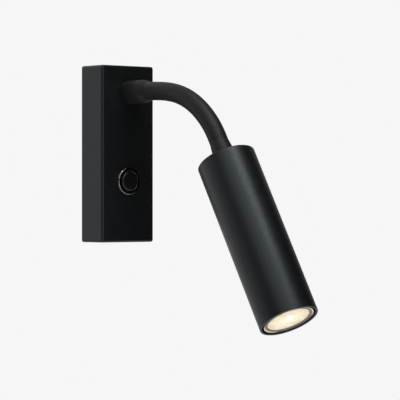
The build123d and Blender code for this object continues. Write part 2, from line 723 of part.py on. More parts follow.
first_joint = cuff_length + LINK_PITCH / 2
with BuildPart() as neck_root_core:
    root_shoulder = first_joint - LINK_PITCH + link_shoulder
    plain_end = root_shoulder - ROOT_TURNS * TURN_PITCH
    with BuildSketch(profile_plane(ARM)):
        with BuildLine():
            Polyline(
                (CORE_BORE_RADIUS, first_joint + NOSE_REACH),
                (CORE_BORE_RADIUS, seat_top),
                (CORE_RADIUS, seat_top),
                (CORE_RADIUS, plain_end - TURN_FLANK),
                *turns(plain_end, ROOT_TURNS),
            )
            ball_end(first_joint, root_shoulder)
        make_face()
    revolve(axis=turning_axis(ARM))
save(neck_root_core, "neck_root_core")

for number, joint in enumerate(JOINTS[:-1], start=1):
    with BuildPart() as neck_turns:
        with BuildSketch(profile_plane(joint)):
            with BuildLine():
                socket_floor = socket_start()
                Polyline(*turns(-RIM_REACH, TURNS_PER_LINK))
                ball_end(LINK_PITCH, link_shoulder)
                Line((CORE_BORE_RADIUS, LINK_PITCH + NOSE_REACH), (CORE_BORE_RADIUS, socket_floor))
            make_face()
        revolve(axis=turning_axis(joint))
    save(neck_turns, f"neck_turns_{number:02d}")

with BuildPart() as neck_tip_core:
    tip_end = LINK_PITCH / 2 + TIP_LENGTH - web_top
    with BuildSketch(profile_plane(JOINTS[-1])):
        with BuildLine():
            socket_floor = socket_start()
            Polyline(
                *turns(-RIM_REACH, TIP_TURNS),
                (CORE_RADIUS, TIP_TURNS * TURN_PITCH - RIM_REACH + TURN_FLANK),
                (CORE_RADIUS, tip_end),
                (CORE_BORE_RADIUS, tip_end),
                (CORE_BORE_RADIUS, socket_floor),
            )
        make_face()
    revolve(axis=turning_axis(JOINTS[-1]))
save(neck_tip_core, "neck_tip_core")


# ---- flexible arm: silicone sleeve and the lead inside ----

bends_start = ARM.origin + ARM.z_dir * cuff_length


def arm_line(start, end):
    """The arm's middle line from start, on the cuff's axis, over its bends to end, on the head's axis."""
    first_bend_end = JOINTS[0].origin + JOINTS[0].z_dir * LINK_PITCH / 2
    with BuildLine() as line:
        Line(start, bends_start)
        TangentArc(bends_start, first_bend_end, tangent=ARM.z_dir)
        Line(first_bend_end, JOINTS[1].origin)
        for bend_start, bend_end in zip(JOINTS[1::2], JOINTS[3::2]):
            TangentArc(bend_start.origin, bend_end.origin, tangent=bend_start.z_dir)
        Line(JOINTS[-1].origin, end)
    return line.wire()


cuff_shoulder = cuff_length - CUFF_NARROWING
with BuildPart() as neck_sleeve:
    with BuildSketch(profile_plane(ARM)):
        with BuildLine():
            ThreePointArc(
                (CUFF_BASE_RADIUS, 0),
                (CUFF_WAIST_RADIUS, cuff_shoulder * CUFF_WAIST),
                (CUFF_SHOULDER_RADIUS, cuff_shoulder),
            )
            TangentArc(
                (CUFF_SHOULDER_RADIUS, cuff_shoulder),
                (CUFF_LIP_RADIUS, cuff_length - CUFF_LIP),
                tangent=(0, 1),
            )
            bore_wide = ROOT_FERRULE_RADIUS + FERRULE_SLACK
            Polyline(
                (CUFF_LIP_RADIUS, cuff_length - CUFF_LIP),
                (SLEEVE_RADIUS, cuff_length),
                (SLEEVE_BORE_RADIUS, cuff_length),
                (SLEEVE_BORE_RADIUS, ROOT_FERRULE_LENGTH + FERRULE_SLACK),
            )
            nose_bottom = ROOT_FERRULE_LENGTH - ROOT_FERRULE_NOSE + FERRULE_SLACK
            TangentArc(
                (bore_wide, nose_bottom),
                (SLEEVE_BORE_RADIUS, ROOT_FERRULE_LENGTH + FERRULE_SLACK),
                tangent=(0, 1),
            )
            Polyline((bore_wide, nose_bottom), (bore_wide, 0), (CUFF_BASE_RADIUS, 0))
        make_face()
    revolve(axis=turning_axis(ARM))
    tube_start = ARM.offset(ROOT_FERRULE_LENGTH + SLEEVE_WALL)
    with BuildSketch(tube_start):
        Circle(SLEEVE_RADIUS)
        Circle(SLEEVE_BORE_RADIUS, mode=Mode.SUBTRACT)
    sweep(path=arm_line(tube_start.origin, HEAD.origin - HEAD.z_dir * TIP_LENGTH))
    with BuildSketch(profile_plane(HEAD)):
        with BuildLine():
            Polyline(
                (TIP_CUFF_RADIUS, 0),
                (TIP_CUFF_RADIUS - SLEEVE_WALL, 0),
                (SLEEVE_BORE_RADIUS, -TIP_LENGTH),
                (SLEEVE_RADIUS, -TIP_LENGTH),
                close=True,
            )
        make_face()
    revolve(axis=turning_axis(HEAD))
save(neck_sleeve, "neck_sleeve")

lead_start = ARM.origin - ARM.z_dir * (ROOT_NIPPLE_INSIDE + ARM_LEAD_TAIL)
lead_end = HEAD.origin + HEAD.z_dir * (TIP_NIPPLE_INSIDE + ARM_LEAD_TAIL)
with BuildPart() as neck_lead:
    with BuildSketch(along(lead_start, ARM.z_dir)):
        Circle(ARM_LEAD_RADIUS)
    sweep(path=arm_line(lead_start, lead_end))
save(neck_lead, "neck_lead")


# ---- leads in the box ----


def lead(route, radius):
    """A round lead along route, its corners rounded as largely as their runs allow."""
    runs = [(b - a).length for a, b in zip(route, route[1:])]
    radii = []
    for number in range(1, len(route) - 1):
        turn = (route[number] - route[number - 1]).get_angle(route[number + 1] - route[number])
        radii.append(0.45 * min(runs[number - 1], runs[number]) / tan(radians(turn) / 2))
    with BuildPart() as core:
        with BuildLine():
            line = FilletPolyline(*route, radius=radii)
        with BuildSketch(Plane(origin=line @ 0, z_dir=line % 0)):
            Circle(radius)
        sweep(path=line)
    return core


def box_point(x, depth, height):
    return Vector(x, -depth, height)


pole_depth = PLATE_THICKNESS + BLOCK_DEEP / 2
block_top = BLOCK_HEIGHT + BLOCK_TALL / 2
pole_screw_height = BLOCK_HEIGHT + BLOCK_TALL / 4
split_depth = BOX_DEPTH - ROOT_NIPPLE_INSIDE - ARM_LEAD_TAIL
split_end = split_depth - 0.9 * LEAD_BEND  # where the single leads start to part
side_x = BOX_WIDTH / 2 - BOX_WALL - LEAD_SIDE_GAP
switch_run_height = SWITCH_HEIGHT + 2.5 * LEAD_BEND
switch_turn_height = SWITCH_HEIGHT + 0.75 * LEAD_BEND
blade_depth = BOX_DEPTH - BARREL_DEPTH - BLADE_LENGTH
blade_side = BLADE_SPACING / 2 + BLADE_THICKNESS / 2 + CORE_LEAD_RADIUS
solder_depth = blade_depth + 0.3 * LEAD_BEND
SHORT = 0.01  # sideways step that keeps a lead's end run from being in line with the next

neutral_lead = lead(
    [
        box_point(-CORE_LEAD_SPACING / 2, split_depth, ARM_HEIGHT),
        box_point(-CORE_LEAD_SPACING / 2, split_end, ARM_HEIGHT),
        box_point(-POLE_PITCH / 2, split_depth - 1.25 * LEAD_BEND, ARM_HEIGHT - 0.9 * LEAD_BEND),
        box_point(-POLE_PITCH, pole_depth, block_top + 1.1 * LEAD_BEND),
        box_point(-POLE_PITCH, pole_depth + SHORT, pole_screw_height + POLE_SCREW_RADIUS),
    ],
    CORE_LEAD_RADIUS,
)
save(neutral_lead, "neutral_lead")

switched_lead = lead(
    [
        box_point(CORE_LEAD_SPACING / 2, split_depth, ARM_HEIGHT),
        box_point(CORE_LEAD_SPACING / 2, split_end, ARM_HEIGHT),
        box_point(POLE_PITCH, split_depth - 0.75 * LEAD_BEND, ARM_HEIGHT - LEAD_BEND),
        box_point(side_x, split_depth - 0.25 * LEAD_BEND, BLOCK_HEIGHT + LEAD_BEND),
        box_point(side_x, split_depth - 0.4 * LEAD_BEND, CLAMP_HEIGHT),
        box_point(side_x - LEAD_BEND / 2, split_depth - 1.25 * LEAD_BEND, switch_run_height),
        box_point(BLADE_SPACING / 2 + LEAD_BEND, blade_depth + 0.4 * LEAD_BEND, switch_turn_height),
        box_point(blade_side, solder_depth, SWITCH_HEIGHT),
    ],
    CORE_LEAD_RADIUS,
)
save(switched_lead, "switched_lead")

live_lead = lead(
    [
        box_point(POLE_PITCH, pole_depth, pole_screw_height - 0.25 * LEAD_BEND),
        box_point(POLE_PITCH, pole_depth + SHORT, block_top + 0.75 * LEAD_BEND),
        box_point(POLE_PITCH - 1.5 * LEAD_BEND, pole_depth + 1.4 * LEAD_BEND, block_top + 1.5 * LEAD_BEND),
        box_point(-POLE_PITCH, pole_depth + 1.9 * LEAD_BEND, block_top + LEAD_BEND / 2),
        box_point(-side_x, pole_depth + 1.1 * LEAD_BEND, BLOCK_HEIGHT),
        box_point(-side_x, pole_depth + LEAD_BEND, CLAMP_HEIGHT - LEAD_BEND / 2),
        box_point(-side_x + LEAD_BEND / 2, blade_depth + 0.9 * LEAD_BEND, switch_run_height),
        box_point(-BLADE_SPACING / 2 - LEAD_BEND, blade_depth + 0.4 * LEAD_BEND, switch_turn_height),
        box_point(-blade_side, solder_depth, SWITCH_HEIGHT),
    ],
    CORE_LEAD_RADIUS,
)
save(live_lead, "live_lead")


# ---- head ----

inner_radius = HEAD_RADIUS - HEAD_WALL
with BuildPart() as head_tube:
    with BuildSketch(profile_plane(HEAD)):
        with BuildLine():
            Polyline(
                (TIP_THREAD_RADIUS + HOLE_SLACK, 0),
                (HEAD_RADIUS - HEAD_TOP_CHAMFER, 0),
                (HEAD_RADIUS, HEAD_TOP_CHAMFER),
                (HEAD_RADIUS, HEAD_LENGTH),
                (inner_radius + MOUTH_CHAMFER, HEAD_LENGTH),
                (inner_radius, HEAD_LENGTH - MOUTH_CHAMFER),
                (inner_radius, HEAD_TOP),
                (TIP_THREAD_RADIUS + HOLE_SLACK, HEAD_TOP),
                close=True,
            )
        make_face()
    revolve(axis=turning_axis(HEAD))
save(head_tube, "head_tube")

with BuildPart() as holder_bracket:
    with BuildSketch(profile_plane(HEAD)) as strap_profile:
        with BuildLine():
            Polyline(
                (STRAP_X - STRAP_FOOT, HOLDER_TOP - STRAP_THICKNESS),
                (STRAP_X - STRAP_THICKNESS, HOLDER_TOP - STRAP_THICKNESS),
                (STRAP_X - STRAP_THICKNESS, HEAD_TOP + STRAP_THICKNESS),
                (-STRAP_X + STRAP_THICKNESS, HEAD_TOP + STRAP_THICKNESS),
                (-STRAP_X + STRAP_THICKNESS, HOLDER_TOP - STRAP_THICKNESS),
                (-STRAP_X + STRAP_FOOT, HOLDER_TOP - STRAP_THICKNESS),
                (-STRAP_X + STRAP_FOOT, HOLDER_TOP),
                (-STRAP_X, HOLDER_TOP),
                (-STRAP_X, HEAD_TOP),
                (STRAP_X, HEAD_TOP),
                (STRAP_X, HOLDER_TOP),
                (STRAP_X - STRAP_FOOT, HOLDER_TOP),
                close=True,
            )
        make_face()
        corners = strap_profile.vertices().group_by(Axis.X)
        fillet(corners[0] + corners[-1], STRAP_THICKNESS * 0.9)
    extrude(amount=STRAP_WIDTH / 2, both=True)
    with BuildSketch(HEAD.offset(HEAD_TOP)):
        Circle(TIP_THREAD_RADIUS + HOLE_SLACK)
    extrude(amount=STRAP_THICKNESS, mode=Mode.SUBTRACT)
    with BuildSketch(HEAD.offset(HOLDER_TOP - STRAP_THICKNESS)):
        with GridLocations(2 * HOLDER_SCREW_X, 0, 2, 1):
            Circle(SMALL_SCREW_RADIUS + HOLE_SLACK)
    extrude(amount=STRAP_THICKNESS, mode=Mode.SUBTRACT)
save(holder_bracket, "holder_bracket")

holder_bottom = HOLDER_TOP + HOLDER_HEIGHT
with BuildPart() as lamp_holder:
    with BuildSketch(HEAD.offset(HOLDER_TOP)):
        RectangleRounded(HOLDER_LENGTH, HOLDER_WIDTH, HOLDER_CORNER)
    extrude(amount=HOLDER_HEIGHT)
    chamfer(lamp_holder.faces().sort_by(turning_axis(HEAD))[-1].edges(), HOLDER_EDGE)
    with BuildSketch(HEAD.offset(holder_bottom - HOLDER_FACE)):
        Circle(HOLDER_CAVITY_RADIUS)
    extrude(amount=-HOLDER_CAVITY_HEIGHT, mode=Mode.SUBTRACT)
    with BuildSketch(HEAD.offset(holder_bottom)):
        for side in (0, 180):
            travel = Edge.make_circle(PIN_SPACING / 2, start_angle=side, end_angle=side + LOCK_TURN)
            SlotArc(travel, 2 * (PIN_RADIUS + PIN_SLACK))
            with PolarLocations(PIN_SPACING / 2, 1, start_angle=side + LOCK_TURN):
                Circle(PIN_HEAD_RADIUS + PIN_SLACK)
    extrude(amount=-HOLDER_FACE, mode=Mode.SUBTRACT)
    with BuildSketch(HEAD.offset(HOLDER_TOP)):
        with GridLocations(2 * HOLDER_SCREW_X, 0, 2, 1):
            Circle(SMALL_SCREW_RADIUS + SCREW_SLACK)
    extrude(amount=HOLDER_HEIGHT / 2, mode=Mode.SUBTRACT)
    with BuildSketch(HEAD.offset(HOLDER_TOP)):
        with GridLocations(PIN_SPACING, 0, 2, 1):
            Circle(LEAD_HOLE_RADIUS)
    extrude(amount=HOLDER_HEIGHT / 2, mode=Mode.SUBTRACT)
save(lamp_holder, "lamp_holder")

with BuildPart() as holder_screws:
    foot_face = HEAD.offset(HOLDER_TOP - STRAP_THICKNESS)
    with BuildSketch(foot_face):
        with GridLocations(2 * HOLDER_SCREW_X, 0, 2, 1):
            Circle(HOLDER_SCREW_HEAD_RADIUS)
            Rectangle(2 * HOLDER_SCREW_HEAD_RADIUS, DRIVER_SLOT_WIDTH, mode=Mode.SUBTRACT)
    extrude(amount=-SMALL_SCREW_HEAD)
    with BuildSketch(foot_face):
        with GridLocations(2 * HOLDER_SCREW_X, 0, 2, 1):
            Circle(HOLDER_SCREW_HEAD_RADIUS)
    extrude(amount=-SMALL_SCREW_HEAD + DRIVER_SLOT_DEPTH)
    with BuildSketch(foot_face):
        with GridLocations(2 * HOLDER_SCREW_X, 0, 2, 1):
            Circle(SMALL_SCREW_RADIUS)
    extrude(amount=STRAP_THICKNESS + HOLDER_HEIGHT / 2 - HOLDER_SCREW_END_GAP)
save(holder_screws, "holder_screws")

pin_tip = holder_bottom + LAMP_SEAT_GAP - PIN_SHANK - PIN_HEAD
cavity_roof = holder_bottom - HOLDER_FACE - HOLDER_CAVITY_HEIGHT
with BuildPart() as holder_contacts:
    with BuildSketch(HEAD.offset(cavity_roof)):
        with GridLocations(PIN_SPACING, 0, 2, 1):
            Rectangle(CONTACT_WIDTH, CONTACT_LENGTH)
    extrude(amount=CONTACT_THICKNESS)
    with BuildSketch(HEAD.offset(cavity_roof)):
        with GridLocations(PIN_SPACING, 0, 2, 1):
            Circle(CONTACT_STUD_RADIUS)
    extrude(amount=pin_tip - cavity_roof - CONTACT_GAP)
save(holder_contacts, "holder_contacts")


def head_point(x, side, depth):
    return HEAD.from_local_coords(Vector(x, side, depth))


lead_split = TIP_NIPPLE_INSIDE + ARM_LEAD_TAIL + SCREW_SLACK
lead_foot = cavity_roof - HOLE_SLACK
with BuildPart() as head_leads:
    for side in (-1, 1):
        route = [
            head_point(side * CORE_LEAD_SPACING / 2, 0, lead_split),
            head_point(side * CORE_LEAD_SPACING / 2, 0, lead_split + 2.25 * LEAD_BEND),
            head_point(side * 0.75 * LEAD_BEND, 0.75 * LEAD_BEND, lead_split + 5 * LEAD_BEND),
            head_point(side * (PIN_SPACING / 2 + LEAD_BEND / 8), LEAD_BEND / 2, lead_split + 8 * LEAD_BEND),
            head_point(side * PIN_SPACING / 2, 0, HOLDER_TOP - LEAD_BEND),
            head_point(side * PIN_SPACING / 2, SHORT, lead_foot),
        ]
        add(lead(route, CORE_LEAD_RADIUS).part)
save(head_leads, "head_leads")


# ---- lamp ----

lamp_seat = holder_bottom + LAMP_SEAT_GAP
base_end = lamp_seat + LAMP_BASE_LENGTH
lamp_front = HEAD_LENGTH - LAMP_RECESS
bezel_back = lamp_front - LAMP_BEZEL_DEPTH

with BuildPart() as lamp_base:
    with BuildSketch(profile_plane(HEAD)):
        with BuildLine():
            Polyline(
                (0, lamp_seat),
                (LAMP_BASE_RADIUS - LAMP_BASE_EDGE, lamp_seat),
                (LAMP_BASE_RADIUS, lamp_seat + LAMP_BASE_EDGE),
                (LAMP_BASE_RADIUS, base_end - LAMP_BASE_FLARE),
                (REFLECTOR_NECK_RADIUS, base_end),
                (0, base_end),
                close=True,
            )
        make_face()
    revolve(axis=turning_axis(HEAD))
save(lamp_base, "lamp_base")

with BuildPart() as lamp_pins:
    with BuildSketch(HEAD.offset(lamp_seat)):
        with GridLocations(PIN_SPACING, 0, 2, 1):
            Circle(PIN_RADIUS)
    extrude(amount=-PIN_SHANK)
    with BuildSketch(HEAD.offset(lamp_seat - PIN_SHANK)):
        with GridLocations(PIN_SPACING, 0, 2, 1):
            Circle(PIN_HEAD_RADIUS)
    extrude(amount=-PIN_HEAD)
save(lamp_pins, "lamp_pins")

bulge_height = base_end + (bezel_back - base_end) * BULGE_HEIGHT
bulge_radius = REFLECTOR_NECK_RADIUS + (REFLECTOR_RIM_RADIUS - REFLECTOR_NECK_RADIUS) * BULGE_RADIUS
with BuildPart() as lamp_reflector:
    with BuildSketch(profile_plane(HEAD)):
        with BuildLine():
            ThreePointArc(
                (REFLECTOR_NECK_RADIUS, base_end),
                (bulge_radius, bulge_height),
                (REFLECTOR_RIM_RADIUS, bezel_back),
            )
            Line((REFLECTOR_RIM_RADIUS, bezel_back), (REFLECTOR_RIM_RADIUS - REFLECTOR_WALL, bezel_back))
            ThreePointArc(
                (REFLECTOR_RIM_RADIUS - REFLECTOR_WALL, bezel_back),
                (bulge_radius - REFLECTOR_WALL, bulge_height),
                (REFLECTOR_NECK_RADIUS - 2 * REFLECTOR_WALL, base_end + REFLECTOR_WALL),
            )
            Polyline(
                (REFLECTOR_NECK_RADIUS - 2 * REFLECTOR_WALL, base_end + REFLECTOR_WALL),
                (CAPSULE_RADIUS + CAPSULE_SLACK, base_end + REFLECTOR_WALL),
                (CAPSULE_RADIUS + CAPSULE_SLACK, base_end),
                (REFLECTOR_NECK_RADIUS, base_end),
            )
        make_face()
    revolve(axis=turning_axis(HEAD))
save(lamp_reflector, "lamp_reflector")

with BuildPart() as lamp_capsule:
    with BuildSketch(HEAD.offset(base_end)):
        Circle(CAPSULE_RADIUS)
    extrude(amount=CAPSULE_LENGTH)
    fillet(lamp_capsule.faces().sort_by(turning_axis(HEAD))[-1].edges(), CAPSULE_RADIUS * 0.8)
save(lamp_capsule, "lamp_capsule")

lens_front = lamp_front - LAMP_LENS_RECESS
lens_back = lens_front - LAMP_LENS_THICKNESS
with BuildPart() as lamp_bezel:
    with BuildSketch(profile_plane(HEAD)):
        with BuildLine():
            Polyline(
                (LAMP_LEDGE_RADIUS, bezel_back),
                (LAMP_BEZEL_RADIUS, bezel_back),
                (LAMP_BEZEL_RADIUS, lamp_front - LAMP_BEZEL_EDGE),
                (LAMP_BEZEL_RADIUS - LAMP_BEZEL_EDGE, lamp_front),
                (LAMP_BEZEL_BORE + LAMP_BEZEL_EDGE, lamp_front),
                (LAMP_BEZEL_BORE, lamp_front - LAMP_BEZEL_EDGE),
                (LAMP_BEZEL_BORE, lens_back),
                (LAMP_LEDGE_RADIUS, lens_back),
                close=True,
            )
        make_face()
    revolve(axis=turning_axis(HEAD))
save(lamp_bezel, "lamp_bezel")

with BuildPart() as lamp_lens:
    with BuildSketch(HEAD.offset(lens_back)):
        Circle(LAMP_LENS_RADIUS)
    extrude(amount=LAMP_LENS_THICKNESS)
    chamfer(lamp_lens.faces().sort_by(turning_axis(HEAD))[-1].edges(), LAMP_LENS_EDGE)
save(lamp_lens, "lamp_lens")

with BuildPart() as lamp_clips:
    with BuildSketch(HEAD.offset(lens_front)):
        with PolarLocations(LAMP_BEZEL_BORE - CLIP_THICKNESS, CLIP_COUNT, start_angle=CLIP_TURN):
            Rectangle(2 * CLIP_THICKNESS, CLIP_WIDTH)
        Circle(LAMP_BEZEL_BORE, mode=Mode.INTERSECT)
    extrude(amount=LAMP_LENS_RECESS - LAMP_BEZEL_EDGE)
save(lamp_clips, "lamp_clips")
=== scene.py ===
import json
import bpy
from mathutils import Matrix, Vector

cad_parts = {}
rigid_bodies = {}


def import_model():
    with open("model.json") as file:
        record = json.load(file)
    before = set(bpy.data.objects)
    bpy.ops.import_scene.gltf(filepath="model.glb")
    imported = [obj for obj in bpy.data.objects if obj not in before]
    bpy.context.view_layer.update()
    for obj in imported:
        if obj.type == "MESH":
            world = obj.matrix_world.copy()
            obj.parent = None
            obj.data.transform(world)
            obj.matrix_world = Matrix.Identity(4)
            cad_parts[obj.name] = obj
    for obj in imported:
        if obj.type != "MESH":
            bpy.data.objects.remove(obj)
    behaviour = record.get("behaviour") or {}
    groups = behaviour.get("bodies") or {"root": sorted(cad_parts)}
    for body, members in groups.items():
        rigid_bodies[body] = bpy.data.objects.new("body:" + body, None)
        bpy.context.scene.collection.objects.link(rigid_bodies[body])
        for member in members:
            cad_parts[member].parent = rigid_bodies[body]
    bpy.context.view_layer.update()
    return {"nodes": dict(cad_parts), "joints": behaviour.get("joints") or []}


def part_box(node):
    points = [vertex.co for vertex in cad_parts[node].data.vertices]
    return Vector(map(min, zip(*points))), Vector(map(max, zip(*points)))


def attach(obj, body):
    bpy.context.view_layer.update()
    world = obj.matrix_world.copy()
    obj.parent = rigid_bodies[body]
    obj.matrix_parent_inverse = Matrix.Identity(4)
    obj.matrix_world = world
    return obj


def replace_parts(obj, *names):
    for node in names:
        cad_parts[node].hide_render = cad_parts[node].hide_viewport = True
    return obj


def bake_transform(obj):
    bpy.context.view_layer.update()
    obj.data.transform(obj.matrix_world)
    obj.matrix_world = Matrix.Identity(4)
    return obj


bl_info = {
    "name": "Bedside wall reading lamp",
    "version": (1, 0, 0),
    "blender": (4, 5, 0),
    "location": "View3D > Sidebar > Reading lamp",
    "description": "Finishes the wall box, push switch, flexible arm, head and bulb of a reading lamp",
    "category": "Object",
}

from math import cos, pi, radians, sin, tan

import bmesh
import bpy
from mathutils import Matrix, Vector

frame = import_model()

MM = 0.001
X = Vector((1, 0, 0))


# ---- places on the lamp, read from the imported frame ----


def place_at(origin, forward):
    """A frame at origin whose z runs forward and whose x is the lamp's x."""
    z = Vector(forward).normalized()
    place = Matrix((X, z.cross(X), z)).transposed().to_4x4()
    place.translation = origin
    return place


def reach(node, place):
    """How far a CAD node reaches along a place's z, from and to, and its largest radius about it, in metres."""
    local = place.inverted()
    points = [local @ vertex.co for vertex in frame["nodes"][node].data.vertices]
    heights = [point.z for point in points]
    return min(heights), max(heights), max(point.xy.length for point in points)


JOINTS = {joint["name"]: joint for joint in frame["joints"]}
NECK = [joint for joint in frame["joints"] if joint["type"] == "hinge" and joint["name"] != "lamp_twist"]
NECK_POINTS = [Vector(joint["pos_m"]) for joint in NECK]
STEP = (NECK_POINTS[1] - NECK_POINTS[0]).length  # between neighbouring joints of the arm

HOUSING_LOW, HOUSING_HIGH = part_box("housing")
FRONT_Y = HOUSING_LOW.y
HEAD = place_at(JOINTS["lamp_twist"]["pos_m"], JOINTS["lamp_twist"]["axis"])
ARM = place_at((0, FRONT_Y, NECK_POINTS[0].z), (0, -1, 0))
SWITCH_LOW, SWITCH_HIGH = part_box("switch_bezel")
SWITCH = place_at((0, FRONT_Y, (SWITCH_LOW.z + SWITCH_HIGH.z) / 2), (0, -1, 0))


# ---- meshes ----


def piece(name, mesh, finish, crease=35.0):
    """A new object in the scene, smooth but for edges sharper than crease degrees."""
    for polygon in mesh.polygons:
        polygon.use_smooth = True
    mesh.set_sharp_from_angle(angle=radians(crease))
    thing = bpy.data.objects.new(name, mesh)
    bpy.context.scene.collection.objects.link(thing)
    thing.data.materials.append(finish)
    return thing


def rounded(corners, steps=6):
    """A closed outline from corners (radius, height, rounding), in mm, with each corner rounded by an arc."""
    outline = []
    count = len(corners)
    for number, (radius, height, rounding) in enumerate(corners):
        corner = Vector((radius, height))
        before = (Vector(corners[number - 1][:2]) - corner).normalized()
        after = (Vector(corners[(number + 1) % count][:2]) - corner).normalized()
        if rounding <= 0:
            outline.append(corner)
            continue
        half = before.angle(after) / 2
        middle = corner + (before + after).normalized() * rounding / sin(half)
        foot = corner + before * rounding / tan(half) - middle
        turn = (pi - 2 * half) * (-1 if before.cross(after) > 0 else 1)
        for step in range(steps + 1):
            outline.append(middle + Matrix.Rotation(turn * step / steps, 2) @ foot)
    return outline


def turned_mesh(name, place, outline, sides=96):
    """The mesh of a turned piece: a closed outline of (radius, height) points, in mm, spun about the place's z."""
    shape = bmesh.new()
    ring = [shape.verts.new((max(point[0], 0) * MM, 0, point[1] * MM)) for point in outline]
    edges = [shape.edges.new((ring[number - 1], ring[number])) for number in range(len(ring))]
    bmesh.ops.spin(
        shape, geom=ring + edges, cent=(0, 0, 0), axis=(0, 0, 1), angle=2 * pi, steps=sides, use_merge=True
    )
    bmesh.ops.remove_doubles(shape, verts=shape.verts, dist=1e-7)
    bmesh.ops.dissolve_degenerate(shape, edges=shape.edges, dist=1e-8)
    bmesh.ops.recalc_face_normals(shape, faces=shape.faces)
    shape.transform(place)
    mesh = bpy.data.meshes.new(name)
    shape.to_mesh(mesh)
    shape.free()
    return mesh


def turned(name, place, outline, finish, body, sides=96):
    """A turned piece on one of the lamp's bodies."""
    thing = piece(name, turned_mesh(name, place, outline, sides), finish)
    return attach(thing, body)


def tube_mesh(name, stations, skins, sides=64):
    """A tube along stations (point, direction), with one skin for each radius, in metres, in skins."""
    shape = bmesh.new()
    for skin, radius in enumerate(skins):
        rings = []
        for point, direction in stations:
            place = place_at(point, direction)
            turns = [2 * pi * side / sides for side in range(sides)]
            rings.append([shape.verts.new(place @ Vector((cos(a) * radius, sin(a) * radius, 0))) for a in turns])
        for near, far in zip(rings, rings[1:]):
            for side in range(sides):
                corners = [near[side - 1], near[side], far[side], far[side - 1]]
                shape.faces.new(corners if skin == 0 else corners[::-1])
    mesh = bpy.data.meshes.new(name)
    shape.to_mesh(mesh)
    shape.free()
    return mesh


def carved(thing, cutters):
    """Cuts the cutters out of a piece for good, and removes them."""
    for cutter in cutters:
        cut = thing.modifiers.new("cut", "BOOLEAN")
        cut.operation = "DIFFERENCE"
        cut.solver = "EXACT"
        cut.object = cutter
    bpy.context.view_layer.update()
    solid = bpy.data.meshes.new_from_object(thing.evaluated_get(bpy.context.evaluated_depsgraph_get()))
    thing.modifiers.clear()
    thing.data = solid
    for cutter in cutters:
        bpy.data.objects.remove(cutter)
    return thing


# ---- finishes ----


class Finish:
    """A procedural material being made: its nodes, its shader and the piece's own coordinates."""

    def __init__(self, name, **constants):
        self.material = bpy.data.materials.new(name)
        self.material.use_nodes = True
        self.tree = self.material.node_tree
        self.shader = self.tree.nodes["Principled BSDF"]
        for socket, value in constants.items():
            self.shader.inputs[socket.replace("_", " ").title().replace("Ior", "IOR")].default_value = value
        self.place = self.tree.nodes.new("ShaderNodeTexCoord").outputs["Object"]

    def node(self, kind, **inputs):
        made = self.tree.nodes.new(kind)
        for socket, value in inputs.items():
            self.feed(made.inputs[socket.replace("_", " ")], value)
        return made

    def feed(self, socket, value):
        if isinstance(value, bpy.types.NodeSocket):
            self.tree.links.new(value, socket)
        else:
            socket.default_value = value

    def stretched(self, place, stretch):
        """The piece's coordinates in the axes of place, stretched by a factor along each."""
        turn = place.inverted()
        axes = self.node("ShaderNodeMapping", Vector=self.place)
        axes.inputs["Location"].default_value = turn.translation
        axes.inputs["Rotation"].default_value = turn.to_euler()
        scale = self.node("ShaderNodeVectorMath", Vector=axes.outputs["Vector"])
        scale.operation = "MULTIPLY"
        scale.inputs[1].default_value = stretch
        return scale.outputs["Vector"]

    def grain(self, size, detail=3.0, place=None):
        """Noise with lumps of about size, in mm."""
        noise = self.node("ShaderNodeTexNoise", Vector=place or self.place, Scale=1 / (size * MM), Detail=detail)
        return noise.outputs["Fac"]

    def cells(self, size, feature="F1"):
        """Cells of about size, in mm."""
        cells = self.tree.nodes.new("ShaderNodeTexVoronoi")
        cells.feature = feature
        self.feed(cells.inputs["Vector"], self.place)
        cells.inputs["Scale"].default_value = 1 / (size * MM)
        return cells

    def between(self, factor, low, high, start=0.3, end=0.7):
        """A number that runs from low to high as factor runs from start to end."""
        span = self.node("ShaderNodeMapRange", Value=factor)
        for socket, value in (("From Min", start), ("From Max", end), ("To Min", low), ("To Max", high)):
            span.inputs[socket].default_value = value
        return span.outputs["Result"]

    def colours(self, factor, *stops):
        """A colour that runs through stops (place, (red, green, blue)) with factor."""
        ramp = self.node("ShaderNodeValToRGB", Fac=factor)
        points = ramp.color_ramp.elements
        while len(points) < len(stops):
            points.new(0.5)
        for point, (at, colour) in zip(points, stops):
            point.position = at
            point.color = (*colour, 1)
        return ramp.outputs["Color"]

    def colour(self, value):
        self.feed(self.shader.inputs["Base Color"], value)

    def roughness(self, value):
        self.feed(self.shader.inputs["Roughness"], value)

    def along(self, place, direction):
        """How far a point lies along a direction given in the axes of place."""
        dot = self.node("ShaderNodeVectorMath", Vector=self.stretched(place, (1, 1, 0)))
        dot.operation = "DOT_PRODUCT"
        dot.inputs[1].default_value = direction
        return dot.outputs["Value"]

    def mixed(self, factor, low, high):
        """A colour that turns from low to high with factor."""
        mix = self.tree.nodes.new("ShaderNodeMix")
        mix.data_type = "RGBA"
        for socket, value in ((mix.inputs["Factor"], factor), (mix.inputs[6], low), (mix.inputs[7], high)):
            self.feed(socket, value)
        return mix.outputs[2]

    def relief(self, height, depth, strength=1.0):
        """Bumps whose highest points stand depth, in mm, over the lowest."""
        bump = self.node("ShaderNodeBump", Height=height, Distance=depth * MM, Strength=strength)
        self.feed(self.shader.inputs["Normal"], bump.outputs["Normal"])


def lighter(colour, factor):
    return tuple(min(part * factor, 1) for part in colour)


def powder_coat(name, colour):
    """Satin powder coat: a fine even grain, slightly uneven in colour and gloss."""
    coat = Finish(name, specular_ior_level=0.5, specular_tint=(0.82, 0.94, 1.0, 1))
    patches = coat.grain(9.0, 4.0)
    coat.colour(coat.colours(patches, (0.3, lighter(colour, 0.85)), (0.7, lighter(colour, 1.15))))
    coat.roughness(coat.between(coat.grain(2.5, 5.0), 0.38, 0.45))
    coat.relief(coat.grain(0.35, 2.0), 0.012, 0.3)
    return coat.material


